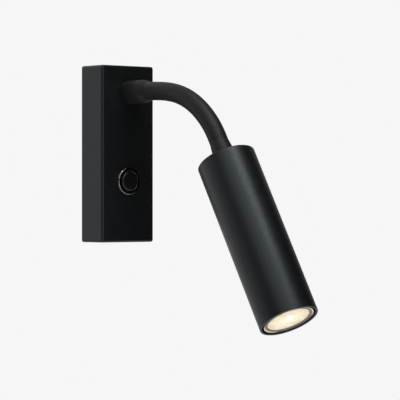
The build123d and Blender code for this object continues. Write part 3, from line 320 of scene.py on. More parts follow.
def silicone(name, colour):
    """Matte silicone rubber with a faint bloom of dust."""
    skin = Finish(name, specular_ior_level=0.38, specular_tint=(0.96, 0.97, 1.0, 1))
    bloom = skin.grain(4.0, 6.0)
    skin.colour(skin.colours(bloom, (0.35, lighter(colour, 0.85)), (0.75, lighter(colour, 1.25))))
    skin.roughness(skin.between(skin.grain(1.2, 4.0), 0.50, 0.60))
    skin.relief(skin.grain(0.25, 2.0), 0.01, 0.4)
    return skin.material


def moulded(name, colour, roughness, grain=0.6, depth=0.008):
    """Moulded plastic with a faint spark-eroded texture."""
    plastic = Finish(name, specular_ior_level=0.5)
    tone = plastic.grain(5.0, 3.0)
    plastic.colour(plastic.colours(tone, (0.3, lighter(colour, 0.92)), (0.7, lighter(colour, 1.06))))
    plastic.roughness(plastic.between(plastic.grain(1.5, 3.0), roughness - 0.04, roughness + 0.05))
    plastic.relief(plastic.grain(grain, 2.0), depth, 0.4)
    return plastic.material


def turned_metal(name, colour, roughness, place, pitch=0.18, depth=0.004):
    """Machined metal with fine turning rings round a place's z."""
    metal = Finish(name, metallic=1.0)
    rings = metal.grain(pitch, 2.0, metal.stretched(place, (0.12, 0.12, 1.0)))
    metal.colour(metal.colours(rings, (0.3, lighter(colour, 0.85)), (0.7, lighter(colour, 1.08))))
    metal.roughness(metal.between(rings, roughness - 0.05, roughness + 0.08))
    metal.relief(rings, depth, 0.6)
    return metal.material


def black_chrome(name, colour):
    """Black chrome, polished, with faint wiping marks."""
    chrome = Finish(name, metallic=1.0)
    marks = chrome.grain(1.5, 5.0)
    chrome.colour(chrome.colours(marks, (0.3, lighter(colour, 0.92)), (0.7, lighter(colour, 1.05))))
    chrome.roughness(chrome.between(marks, 0.06, 0.12))
    chrome.relief(chrome.grain(3.0, 2.0), 0.004, 0.3)
    return chrome.material


def zinc_plate(name, colour):
    """Zinc-plated steel: pale crystals with a slight yellow and blue tint."""
    zinc = Finish(name, metallic=1.0)
    crystals = zinc.cells(1.6)
    tint = zinc.colours(
        crystals.outputs["Distance"],
        (0.1, lighter(colour, 1.05)),
        (0.5, (colour[0] * 0.98, colour[1] * 0.97, colour[2] * 0.86)),
        (0.9, (colour[0] * 0.86, colour[1] * 0.9, colour[2] * 0.98)),
    )
    zinc.colour(tint)
    zinc.roughness(zinc.between(zinc.grain(3.0, 5.0), 0.28, 0.42))
    zinc.relief(zinc.grain(0.5, 3.0), 0.006, 0.5)
    return zinc.material


def wound_wire(name, colour):
    """Drawn steel wire of the arm's core, darker in its grooves."""
    wire = Finish(name, metallic=1.0)
    streaks = wire.grain(0.5, 3.0)
    wire.colour(wire.colours(streaks, (0.25, lighter(colour, 0.6)), (0.7, colour)))
    wire.roughness(wire.between(wire.grain(1.0, 4.0), 0.25, 0.45))
    wire.relief(streaks, 0.01, 0.4)
    return wire.material


def glazed(name, colour):
    """White glazed ceramic with small iron specks under a clear glaze."""
    glaze = Finish(name, coat_weight=0.6, coat_roughness=0.08, specular_ior_level=0.5)
    specks = glaze.grain(0.4, 2.0)
    glaze.colour(glaze.colours(specks, (0.0, lighter(colour, 0.6)), (0.28, lighter(colour, 0.95)), (0.5, colour)))
    glaze.roughness(glaze.between(glaze.grain(3.0, 3.0), 0.25, 0.4))
    glaze.relief(glaze.grain(1.5, 3.0), 0.02, 0.4)
    return glaze.material


def lead_sheath(name, colour):
    """Extruded insulation with faint lengthwise streaks."""
    sheath = Finish(name, specular_ior_level=0.45)
    streaks = sheath.grain(0.9, 4.0)
    sheath.colour(sheath.colours(streaks, (0.3, lighter(colour, 0.85)), (0.7, lighter(colour, 1.1))))
    sheath.roughness(sheath.between(streaks, 0.42, 0.55))
    sheath.relief(streaks, 0.01, 0.3)
    return sheath.material


def mirror_coat(name, colour):
    """Vacuum-coated reflector with a pillow pattern."""
    coat = Finish(name, metallic=1.0)
    pillows = coat.cells(2.2, "SMOOTH_F1").outputs["Distance"]
    coat.colour(coat.colours(pillows, (0.1, colour), (0.6, lighter(colour, 0.85))))
    coat.roughness(coat.between(coat.grain(1.0, 3.0), 0.06, 0.14))
    coat.relief(pillows, 0.15, 0.7)
    return coat.material


def glowing_glass(name, looks, place):
    """The bulb's front glass: warm, mottled by the reflector behind it and white over the source."""
    glass = Finish(name, specular_ior_level=0.5, coat_weight=0.5, coat_roughness=0.06)
    near = glass.stretched(place, (1, 1, 0))
    length = glass.node("ShaderNodeVectorMath", Vector=near)
    length.operation = "LENGTH"
    from_middle = glass.between(length.outputs["Value"], 0.0, 1.0, 0.0, 0.015)
    mottle = glass.cells(2.6, "SMOOTH_F1").outputs["Distance"]
    ripple = glass.node("ShaderNodeMath")
    ripple.operation = "MULTIPLY_ADD"
    glass.feed(ripple.inputs[0], mottle)
    ripple.inputs[1].default_value = looks.mottling
    glass.feed(ripple.inputs[2], from_middle)
    glow = glass.colours(
        ripple.outputs["Value"],
        (0.30, looks.source_colour),
        (0.55, looks.glow_colour),
        (0.95, lighter(looks.glow_colour, 0.82)),
        (1.0, lighter(looks.glow_colour, 0.7)),
    )
    glass.colour(glass.colours(mottle, (0.2, lighter(looks.glow_colour, 0.3)), (0.8, lighter(looks.glow_colour, 0.2))))
    glass.feed(glass.shader.inputs["Emission Color"], glow)
    glass.shader.inputs["Emission Strength"].default_value = looks.glow_strength
    glass.roughness(glass.between(mottle, 0.12, 0.25))
    glass.relief(mottle, 0.25, 0.6)
    return glass.material


def glass_rim(name, looks, place, inner, outer):
    """The bulb's thick glass rim, glowing: olive brown next to its front, a painted reflection of the dark head, and
    cream where the outer edge carries the light, with painted highlights at two opposite sides and a painted shadow of
    the head's lip on one side.
    """
    rim = Finish(name, specular_ior_level=0.4, coat_weight=0.2, coat_roughness=0.1)
    length = rim.node("ShaderNodeVectorMath", Vector=rim.stretched(place, (1, 1, 0)))
    length.operation = "LENGTH"
    across = rim.between(length.outputs["Value"], 0.0, 1.0, inner, outer)
    # Painted light: dim and lit are a shaded and a lit copy of the rim's glow, and the olive brown band in both is a
    # painted reflection of the dark head.
    dim = rim.colours(
        across,
        (0.0, lighter(looks.rim_shade, 1.6)),
        (0.3, looks.rim_shade),
        (0.6, lighter(looks.rim_shade, 0.8)),
        (0.78, lighter(looks.rim_shade, 1.8)),
        (1.0, lighter(looks.rim_shade, 0.2)),
    )
    lit = rim.colours(
        across,
        (0.0, lighter(looks.rim_shade, 1.6)),
        (0.3, looks.rim_shade),
        (0.6, lighter(looks.rim_shade, 1.2)),
        (0.76, looks.rim_light),
        (0.9, looks.rim_light),
        (1.0, lighter(looks.rim_shade, 0.3)),
    )
    smears = rim.grain(5.0, 2.0)
    # Painted highlight: the rim glows in its lit copy at the two sides along this direction across the bulb, and in
    # its dim copy between them.
    painted_highlight_side = Vector(looks.rim_painted_highlight_side).normalized()
    painted_shadow_side = Vector((-painted_highlight_side.y, painted_highlight_side.x, 0))
    side = rim.node("ShaderNodeMath", Value=rim.along(place, painted_highlight_side))
    side.operation = "ABSOLUTE"
    glow = rim.mixed(rim.between(side.outputs["Value"], 0.0, 1.0, outer * 0.7, outer * 0.97), dim, lit)
    # Painted shadow: on one side, at right angles to that direction, where the head's lip shades the rim, the glow
    # turns nearly black.
    shade = rim.between(rim.along(place, painted_shadow_side), 0.0, 1.0, outer * 0.25, outer * 0.6)
    glow = rim.mixed(shade, glow, (*lighter(looks.rim_shade, 0.15), 1))
    rim.feed(rim.shader.inputs["Emission Color"], glow)
    rim.shader.inputs["Emission Strength"].default_value = looks.glow_strength
    rim.colour(rim.colours(smears, (0.3, lighter(looks.rim_shade, 0.3)), (0.7, lighter(looks.rim_shade, 0.6))))
    rim.roughness(rim.between(smears, 0.12, 0.25))
    rim.relief(rim.grain(1.2, 2.0), 0.03, 0.5)
    return rim.material


def dress(finish, *nodes):
    """Gives CAD nodes a finish, smooth over their small facets."""
    for node in nodes:
        thing = frame["nodes"][node]
        thing.data.materials.clear()
        thing.data.materials.append(finish)
        for polygon in thing.data.polygons:
            polygon.use_smooth = True
        thing.data.set_sharp_from_angle(angle=radians(28))


# ---- settings ----


def colour_setting(label, text, default):
    return bpy.props.FloatVectorProperty(
        name=label, description=text, subtype="COLOR", size=3, min=0, max=1, default=default
    )


def length_setting(label, text, default):
    """A length, given in mm and kept in metres."""
    return bpy.props.FloatProperty(
        name=label, description=text, unit="LENGTH", subtype="DISTANCE", min=0, default=default * MM, precision=5
    )


class BoxSettings(bpy.types.PropertyGroup):
    paint: colour_setting("Paint", "Colour of the powder coat on box and head", (0.0027, 0.0029, 0.0032))
    edge_radius: length_setting("Edge radius", "Rounding of the cover's edges", 1.7)
    wall: length_setting("Wall", "Thickness of the cover's sheet", 1.5)
    zinc: colour_setting("Zinc", "Colour of the plated steel parts", (0.62, 0.62, 0.6))


class SwitchSettings(bpy.types.PropertyGroup):
    ring: colour_setting("Ring", "Colour of the polished ring", (0.23, 0.23, 0.235))
    cap_sink: length_setting("Cap sink", "How far the button's face lies behind the solid's", 0.7)
    cap: colour_setting("Cap", "Colour of the push button", (0.003, 0.003, 0.0035))


class ArmSettings(bpy.types.PropertyGroup):
    rubber: colour_setting("Rubber", "Colour of the silicone sleeve", (0.005, 0.0052, 0.0058))
    radius: length_setting("Radius", "Outer radius of the sleeve", 6.45)
    bore: length_setting("Bore", "Inner radius of the sleeve", 5.3)
    lead_radius: length_setting("Lead radius", "Radius of the lead inside the arm", 1.3)
    cuff_length: length_setting("Cuff", "Length of the sleeve's thick end at the box", 24.0)
    tip_length: length_setting("Tip cuff", "Length of the sleeve's flared end at the head", 14.0)
    rings: bpy.props.IntProperty(
        name="Rings", description="Rings of the sleeve's mesh from joint to joint", min=4, default=14
    )


class HeadSettings(bpy.types.PropertyGroup):
    wall: length_setting("Wall", "Thickness of the head's tube", 1.6)
    top: length_setting("Top", "Thickness of the head's closed end", 2.0)
    rim: length_setting("Rim", "Rounding of the edge round the head's top", 0.45)


class BulbSettings(bpy.types.PropertyGroup):
    bore: length_setting("Bore", "Inner radius of the glass rim", 14.45)
    glow_colour: colour_setting("Glow", "Colour of the lit front glass", (0.83, 0.70, 0.48))
    source_colour: colour_setting("Source", "Colour over the source", (1.0, 0.97, 0.9))
    # Painted light on the rim: its dark inner band is a painted reflection of the dark head, and its lit outer edge is
    # brightest, as a painted highlight, at two sides.
    rim_shade: colour_setting("Rim shade", "Colour of the glass rim's dark inner band", (0.06, 0.042, 0.018))
    rim_light: colour_setting("Rim light", "Colour of the glass rim's lit outer edge", (0.72, 0.70, 0.50))
    # Painted highlight: the rim's glow is brightest at the two sides across the bulb along this direction.
    rim_painted_highlight_side: bpy.props.FloatVectorProperty(
        name="Rim glow side", description="Direction, across the bulb, of the two places where its rim is brightest",
        subtype="DIRECTION", default=(0.51, 0.86, 0.0),
    )
    glow_strength: bpy.props.FloatProperty(name="Strength", description="Brightness of the glass", min=0, default=0.95)
    mottling: bpy.props.FloatProperty(name="Mottling", description="How far the pattern shows", min=0, default=0.4)


class StageSettings(bpy.types.PropertyGroup):
    background: colour_setting("Background", "Colour behind the lamp", (0.922, 0.922, 0.922))
    look_at: bpy.props.FloatVectorProperty(
        name="Look at", description="Point in the middle of the picture", subtype="TRANSLATION", unit="LENGTH",
        default=(0.03518, -0.060, -0.03232),
    )
    distance: length_setting("Distance", "From the camera to that point", 1633.9)
    azimuth: bpy.props.FloatProperty(
        name="Azimuth", description="The camera's turn from straight ahead", subtype="ANGLE", default=radians(-40.031)
    )
    pitch: bpy.props.FloatProperty(
        name="Pitch", description="How far the camera looks down", subtype="ANGLE", default=radians(0.007)
    )
    lens: bpy.props.FloatProperty(name="Lens", description="Focal length in mm on a 36 mm sensor", default=210.0)
    floor_height: bpy.props.FloatProperty(
        name="Floor", description="Height of the floor below the wall plate's middle", unit="LENGTH",
        subtype="DISTANCE", default=-0.6,
    )
    floor_radius: length_setting("Floor radius", "Where the floor has faded into the background", 1600.0)
    floor_lift: bpy.props.FloatProperty(
        name="Floor lift", description="How far the floor is lifted to the background's white", min=0, max=1,
        default=0.4,
    )
    fill: bpy.props.FloatProperty(name="Fill", description="Even light from all round", min=0, default=0.75)


# ---- box and switch ----


def rounded_block(name, low, high, radius):
    """A block with every edge rounded but those of its back."""
    shape = bmesh.new()
    bmesh.ops.create_cube(shape, size=1.0)
    for vertex in shape.verts:
        vertex.co = Vector([l + (h - l) * (c + 0.5) for l, h, c in zip(low, high, vertex.co)])
    kept = [edge for edge in shape.edges if any(vertex.co.y < high.y - radius for vertex in edge.verts)]
    bmesh.ops.bevel(
        shape, geom=kept, offset=radius, offset_type="OFFSET", segments=8, profile=0.5, affect="EDGES",
        clamp_overlap=True,
    )
    mesh = bpy.data.meshes.new(name)
    shape.to_mesh(mesh)
    shape.free()
    return mesh


class LAMP_OT_wall_box(bpy.types.Operator):
    """Makes the box's cover and finishes the plate, terminals, clamp, screws and leads inside it"""

    bl_idname = "lamp.wall_box"
    bl_label = "Wall box"

    def execute(self, context):
        settings = context.scene.lamp_box
        paint = powder_coat("box_powder_coat", settings.paint)
        cover = piece("box_cover", rounded_block("box_cover", HOUSING_LOW, HOUSING_HIGH, settings.edge_radius), paint)
        wall = Vector((settings.wall, settings.wall, settings.wall))
        hollow_low = HOUSING_LOW + wall
        hollow_high = HOUSING_HIGH - wall
        hollow_high.y = HOUSING_HIGH.y + wall.y
        cutters = [piece("hollow", rounded_block("hollow", hollow_low, hollow_high, settings.wall / 2), paint)]
        wall_mm = settings.wall / MM
        barrel = reach("switch_body", SWITCH)[2] / MM + 0.1
        stud = reach("arm_root_nipple", ARM)[2] / MM + 0.2
        for name, place, radius in (("switch_hole", SWITCH, barrel), ("arm_hole", ARM, stud)):
            drill = [(0, -2 * wall_mm), (radius, -2 * wall_mm), (radius, wall_mm), (0, wall_mm)]
            cutters.append(piece(name, turned_mesh(name, place, drill), paint))
        screw_low, screw_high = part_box("housing_screws")
        screw_y = (screw_low.y + screw_high.y) / 2
        head_mm = (screw_high.x - screw_low.x) / 2 / MM
        for end in (-1, 1):
            place = place_at((0, screw_y, HOUSING_HIGH.z * end), (0, 0, end))
            sink = [(0, -4), (1.7, -4), (1.7, -1.5), (head_mm + 0.2, 0), (head_mm + 0.2, 1), (0, 1)]
            cutters.append(piece("sink", turned_mesh("sink", place, sink, 48), paint))
        carved(cover, cutters)
        cover.data.set_sharp_from_angle(angle=radians(35))
        even = cover.modifiers.new("even shading", "WEIGHTED_NORMAL")
        even.keep_sharp = True
        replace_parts(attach(cover, "wall_box"), "housing")

        dress(zinc_plate("plated_steel", settings.zinc), "wall_bracket", "arm_root_washer", "arm_root_nut")
        dress(moulded("screw_black", (0.02, 0.02, 0.022), 0.35), "housing_screws")
        dress(silicone("grommet_rubber", (0.018, 0.018, 0.018)), "entry_grommet")
        dress(moulded("white_nylon", (0.72, 0.71, 0.66), 0.45), "cable_clamp", "terminal_block")
        bright = turned_metal("bright_steel", (0.68, 0.68, 0.68), 0.25, SWITCH)
        dress(bright, "cable_clamp_screws", "terminal_screws", "terminal_block_screws")
        brass = turned_metal("brass", (0.75, 0.55, 0.24), 0.28, ARM)
        dress(brass, "earth_washer", "earth_screw", "arm_root_nipple")
        dress(lead_sheath("brown_core", (0.16, 0.06, 0.02)), "live_lead", "switched_lead")
        dress(lead_sheath("blue_core", (0.02, 0.08, 0.35)), "neutral_lead")
        return {"FINISHED"}


class LAMP_OT_switch(bpy.types.Operator):
    """Makes the push switch's polished ring and button, and finishes its body, nut, spring and blades"""

    bl_idname = "lamp.switch"
    bl_label = "Push switch"

    def execute(self, context):
        settings = context.scene.lamp_switch
        ring_back, ring_front, ring_radius = (size / MM for size in reach("switch_bezel", SWITCH))
        cap_back, cap_front, cap_radius = (size / MM for size in reach("push_button", SWITCH))
        bore = cap_radius + 0.6
        ring_finish = black_chrome("ring_chrome", settings.ring)
        ring = rounded([
            (bore, 0, 0),
            (ring_radius, 0, 0),
            (ring_radius, ring_front, 0.8),
            (ring_radius - 1.1, ring_front, 0.1),
            (bore + 0.25, ring_front - 0.15, 0.2),
            (bore, ring_front - 0.8, 0.1),
        ])
        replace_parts(turned("switch_ring", SWITCH, ring, ring_finish, "wall_box", 128), "switch_bezel")
        cap_finish = moulded("switch_cap", settings.cap, 0.32)
        wall = 1.6
        face = cap_front - settings.cap_sink / MM
        cap = rounded([
            (0, face, 0),
            (cap_radius, face, 1.2),
            (cap_radius, cap_back, 0.1),
            (cap_radius - wall, cap_back, 0.1),
            (cap_radius - wall, cap_front - wall, 0.2),
            (0, cap_front - wall, 0),
        ])
        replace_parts(turned("switch_cap", SWITCH, cap, cap_finish, "button", 128), "push_button")
        dress(moulded("switch_plastic", (0.02, 0.02, 0.02), 0.5), "switch_body", "switch_nut")
        dress(wound_wire("spring_wire", (0.6, 0.6, 0.6)), "switch_spring")
        dress(turned_metal("blade_brass", (0.75, 0.55, 0.24), 0.3, SWITCH), "switch_terminals")
        return {"FINISHED"}


# ---- flexible arm ----


def slopes():
    """How far the arm points below the horizontal after each joint, and last on the head."""
    ends = NECK_POINTS[1:] + [HEAD.translation]
    runs = [end - start for start, end in zip(NECK_POINTS, ends)]
    return [Vector((-run.y, -run.z)).angle_signed(Vector((1, 0))) for run in runs]


def slope_direction(slope):
    return Vector((0, -cos(slope), -sin(slope)))


def arm_station(steps):
    """A point and direction on the arm's middle line, steps joint distances from the cuff's mouth."""
    after = slopes()
    bend = 2 * round((steps - 0.5) / 2)
    bend = min(max(bend, 0), len(NECK) - 2)
    reach_in = 0.5 if bend == 0 else 1.0
    before = after[bend - 1] if bend else 0.0
    turn = after[bend] - before
    corner = NECK_POINTS[bend]
    start = corner - slope_direction(before) * reach_in * STEP
    share = (steps - (bend + 0.5) + reach_in) / (2 * reach_in)
    radius = reach_in * STEP / tan(turn / 2)
    inward = Vector((0, sin(before), -cos(before)))
    angle = turn * min(share, 1)
    point = start + slope_direction(before) * radius * sin(angle) + inward * radius * (1 - cos(angle))
    direction = slope_direction(before + angle)
    overrun = max(steps - (bend + 0.5) - reach_in, 0)
    return point + direction * overrun * STEP, direction


BACKWARD_RUN = 8
HALVED_RUN = 2
BALL_GAP = 0.02  # between the ball and the halves over it, in mm
BALL_WALL = 0.3  # of the ball in the sleeve, in mm; the ball in the lead is solid
BALL_REACH = radians(25)  # how far the ball goes to each side of its middle


def bending_run(name, number, skins, finish, rings, sides):
    """The run of a tube round one of the arm's joints, from the middle of one group of turns to the next."""
    if number == HALVED_RUN:
        return halved_run(name, number, skins, finish, rings, sides)
    stations = [arm_station(number + ring / rings) for ring in range(rings + 1)]
    run = piece(f"{name}_{number + 1:02d}", tube_mesh(name, stations, skins, sides), finish)
    bodies, ends = [NECK[number]["parent"], NECK[number]["child"]], [stations[0][0], stations[-1][0]]
    if number == BACKWARD_RUN:
        bodies.reverse()
        ends.reverse()
    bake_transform(run)


def halved_run(name, number, skins, finish, rings, sides):
    """A run in two halves that ride on the two groups of turns, with a ball under the gap that opens between them."""
    label = f"{name}_{number + 1:02d}"
    middle = number + 0.5
    for half, body, start in (("near", "parent", number), ("far", "child", middle)):
        stations = [arm_station(start + 0.5 * ring / rings) for ring in range(rings + 1)]
        thing = piece(f"{label}_{half}", tube_mesh(name, stations, skins, sides), finish)
        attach(thing, NECK[number][body])
    radius = skins[0] / MM - BALL_GAP
    bore = radius - BALL_WALL if len(skins) > 1 else 0.0
    turns = [BALL_REACH * step / 8 for step in range(-8, 9)]
    ball = [(radius * cos(turn), radius * sin(turn)) for turn in turns]
    ball += [(bore * cos(turn), radius * sin(turn)) for turn in reversed(turns)]
    turned(f"{label}_ball", place_at(*arm_station(middle)), ball, finish, NECK[number]["parent"], sides)


class LAMP_OT_arm(bpy.types.Operator):
    """Makes the silicone sleeve and the lead in it, run by run, and finishes the core and end fittings"""

    bl_idname = "lamp.arm"
    bl_label = "Flexible arm"

    def execute(self, context):
        settings = context.scene.lamp_arm
        rubber = silicone("sleeve_silicone", settings.rubber)
        radius = settings.radius / MM
        bore = settings.bore / MM
        length = settings.cuff_length / MM
        ferrule = reach("arm_root_ferrule", ARM)[2] / MM + 0.05
        cuff_outline = [
            (ferrule, 0.0), (7.75, 0.0), (7.95, 0.15), (8.1, 1.2), (8.18, 3.5), (8.2, 8.0), (8.2, 13.0), (8.16, 16.0),
            (8.08, 17.6), (7.92, 18.8), (7.68, 19.9), (7.4, 20.8), (7.12, 21.6), (6.88, 22.3), (6.7, 22.9),
            (6.56, 23.5), (radius, length), (bore, length), (bore, length - 2.9), (ferrule, length - 6.5),
        ]
        cuff = turned("sleeve_cuff", ARM, cuff_outline, rubber, "wall_box", 128)
        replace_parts(cuff, "neck_sleeve")
        tip = settings.tip_length / MM
        tip_outline = [
            (radius, -tip), (radius + 0.42, -tip * 0.78), (radius + 0.87, -tip * 0.5), (radius + 1.38, -tip * 0.2),
            (radius + 1.75, -0.5), (radius + 1.85, -0.12), (radius + 1.7, 0.0), (bore + 1.7, 0.0), (bore, -tip),
        ]
        turned("sleeve_tip", HEAD, tip_outline, rubber, "head", 128)
        for number in range(len(NECK)):
            bending_run("sleeve", number, (settings.radius, settings.bore), rubber, settings.rings, 72)

        sheath = lead_sheath("arm_lead_sheath", (0.05, 0.05, 0.053))
        lead_start = reach("neck_lead", ARM)[0]
        lead_end = reach("neck_lead", HEAD)[1]
        cuff_mouth = arm_station(0)
        last = arm_station(len(NECK))
        root_run = [(ARM @ Vector((0, 0, lead_start)), slope_direction(0)), cuff_mouth]
        tip_run = [last, (HEAD @ Vector((0, 0, lead_end)), last[1])]
        root_lead = piece("arm_lead_root", tube_mesh("arm_lead", root_run, (settings.lead_radius,), 24), sheath)
        tip_lead = piece("arm_lead_tip", tube_mesh("arm_lead", tip_run, (settings.lead_radius,), 24), sheath)
        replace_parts(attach(root_lead, "wall_box"), "neck_lead")
        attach(tip_lead, "head")
        for number in range(len(NECK)):
            bending_run("arm_lead", number, (settings.lead_radius,), sheath, 8, 24)

        steel = zinc_plate("ferrule_zinc", (0.62, 0.62, 0.6))
        dress(steel, "arm_root_ferrule", "arm_tip_ferrule", "arm_tip_washer", "arm_tip_nut")
        dress(turned_metal("tip_brass", (0.75, 0.55, 0.24), 0.28, HEAD), "arm_tip_nipple")
        core = wound_wire("core_wire", (0.5, 0.5, 0.49))
        dress(core, "neck_root_core", "neck_tip_core", *(f"neck_turns_{number:02d}" for number in range(1, len(NECK))))
        return {"FINISHED"}


# ---- head ----


class LAMP_OT_head(bpy.types.Operator):
    """Makes the head's tube and finishes the strap, holder, contacts and leads inside it"""

    bl_idname = "lamp.head"
    bl_label = "Head"

    def execute(self, context):
        settings = context.scene.lamp_head
        paint = powder_coat("head_powder_coat", context.scene.lamp_box.paint)
        top, mouth, radius = (size / MM for size in reach("head_tube", HEAD))
        wall = settings.wall / MM
        cap = settings.top / MM
        rim = settings.rim / MM
        hole = reach("arm_tip_nipple", HEAD)[2] / MM + 0.2
        shade = rounded([
            (hole, top, 0),
            (radius, top, rim),
            (radius, mouth, 0.3),
            (radius - wall + 0.45, mouth, 0.12),
            (radius - wall, mouth - 0.45, 0.12),
            (radius - wall, top + cap, 0.3),
            (hole, top + cap, 0),
        ])
        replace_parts(turned("head_shade", HEAD, shade, paint, "head", 192), "head_tube")
        dress(zinc_plate("strap_zinc", (0.62, 0.62, 0.6)), "holder_bracket")
        dress(glazed("holder_ceramic", (0.8, 0.78, 0.72)), "lamp_holder")
        dress(turned_metal("holder_steel", (0.68, 0.68, 0.68), 0.25, HEAD), "holder_screws")
        dress(turned_metal("contact_brass", (0.75, 0.55, 0.24), 0.3, HEAD), "holder_contacts")
        dress(lead_sheath("white_core", (0.7, 0.68, 0.62)), "head_leads")
        return {"FINISHED"}


# ---- bulb ----


class LAMP_OT_bulb(bpy.types.Operator):
    """Makes the bulb's front glass and rim, and finishes its reflector, base, pins, clips and capsule"""

    bl_idname = "lamp.bulb"
    bl_label = "Bulb"

    def execute(self, context):
        settings = context.scene.lamp_bulb
        back, front, radius = (size / MM for size in reach("lamp_bezel", HEAD))
        lens_back = reach("lamp_lens", HEAD)[0] / MM
        bore = settings.bore / MM
        edge = radius - 0.3
        # The rim's finish holds painted light: a painted reflection in its band, painted highlights at two sides and a
        # painted shadow on one.
        rim_finish = glass_rim("bulb_rim", settings, HEAD, bore * MM, edge * MM)
        rim = rounded([
            (bore - 0.6, back, 0),
            (edge, back, 0.1),
            (edge, front, 0.3),
            (edge - 0.45, front, 0.1),
            (edge - 0.65, front - 0.35, 0.15),
            (bore + 0.15, front - 0.5, 0.15),
            (bore, front - 0.9, 0.1),
            (bore, lens_back, 0),
            (bore - 0.6, lens_back, 0),
        ])
        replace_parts(turned("bulb_rim", HEAD, rim, rim_finish, "lamp", 160), "lamp_bezel")
        glow = glowing_glass("front_glass", settings, HEAD)
        face = front - 0.5
        glass_radius = bore - 0.1
        glass = rounded([
            (0, lens_back, 0),
            (glass_radius, lens_back, 0.1),
            (glass_radius, face, 0.25),
            (glass_radius * 0.5, face + 0.12, 0),
            (0, face + 0.15, 0),
        ])
        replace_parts(turned("bulb_glass", HEAD, glass, glow, "lamp", 128), "lamp_lens")
        dress(mirror_coat("bulb_mirror", (0.88, 0.86, 0.8)), "lamp_reflector")
        dress(glazed("bulb_base_glaze", (0.75, 0.73, 0.66)), "lamp_base")
        dress(turned_metal("pin_nickel", (0.7, 0.68, 0.62), 0.25, HEAD), "lamp_pins")
        dress(turned_metal("clip_steel", (0.4, 0.33, 0.22), 0.3, HEAD), "lamp_clips")
        dress(glazed("capsule_glass", (0.8, 0.75, 0.6)), "lamp_capsule")
        return {"FINISHED"}


# ---- camera, lights and floor ----

# The studio's lamps: name, place and size in metres, and power in watts.
SOFTBOXES = (
    ("front_box", (-0.06, -1.15, 1.6), (0.6, 0.8), 7.2),
    ("front_strip", (-0.2, -1.5, 0.0), (0.15, 1.6), 3.9),
    ("top_box", (0.03, -0.25, 0.9), (0.5, 0.5), 1.9),
)

# Where the room glows in a gloss on the lamp, and how strongly: the white backdrop, its floor, and the studio's walls.
GLOW_REACH = pi / 4  # from a glow's middle to where it has faded out
ROOM_GLOWS = (
    ((0.0, 1.0, 0.18), 0.80),
    ((-0.7, 0.7, 0.18), 0.57),
    ((0.7, 0.7, 0.18), 0.49),
    ((0.0, 0.64, 0.77), 0.46),
    ((0.58, 0.58, -0.57), 0.2),
    ((-0.45, -0.45, 0.77), 1.32),
    ((-0.58, -0.58, -0.57), 0.80),
)


def softbox(name, place, target, size, power):
    """A rectangular lamp at place that faces target."""
    light = bpy.data.lights.new(name, "AREA")
    light.shape = "RECTANGLE"
    light.size, light.size_y = size
    light.energy = power
    thing = bpy.data.objects.new(name, light)
    thing.location = place
    thing.rotation_euler = (Vector(target) - Vector(place)).to_track_quat("-Z", "Y").to_euler()
    thing.visible_camera = False
    bpy.context.scene.collection.objects.link(thing)
    return thing


def seen_background(tree):
    """The light path, and 1 for its rays that should meet the plain background: from the camera or through glass."""
    path = tree.nodes.new("ShaderNodeLightPath")
    either = tree.nodes.new("ShaderNodeMath")
    either.operation = "MAXIMUM"
    tree.links.new(path.outputs["Is Camera Ray"], either.inputs[0])
    tree.links.new(path.outputs["Is Transmission Ray"], either.inputs[1])
    return path, either.outputs["Value"]


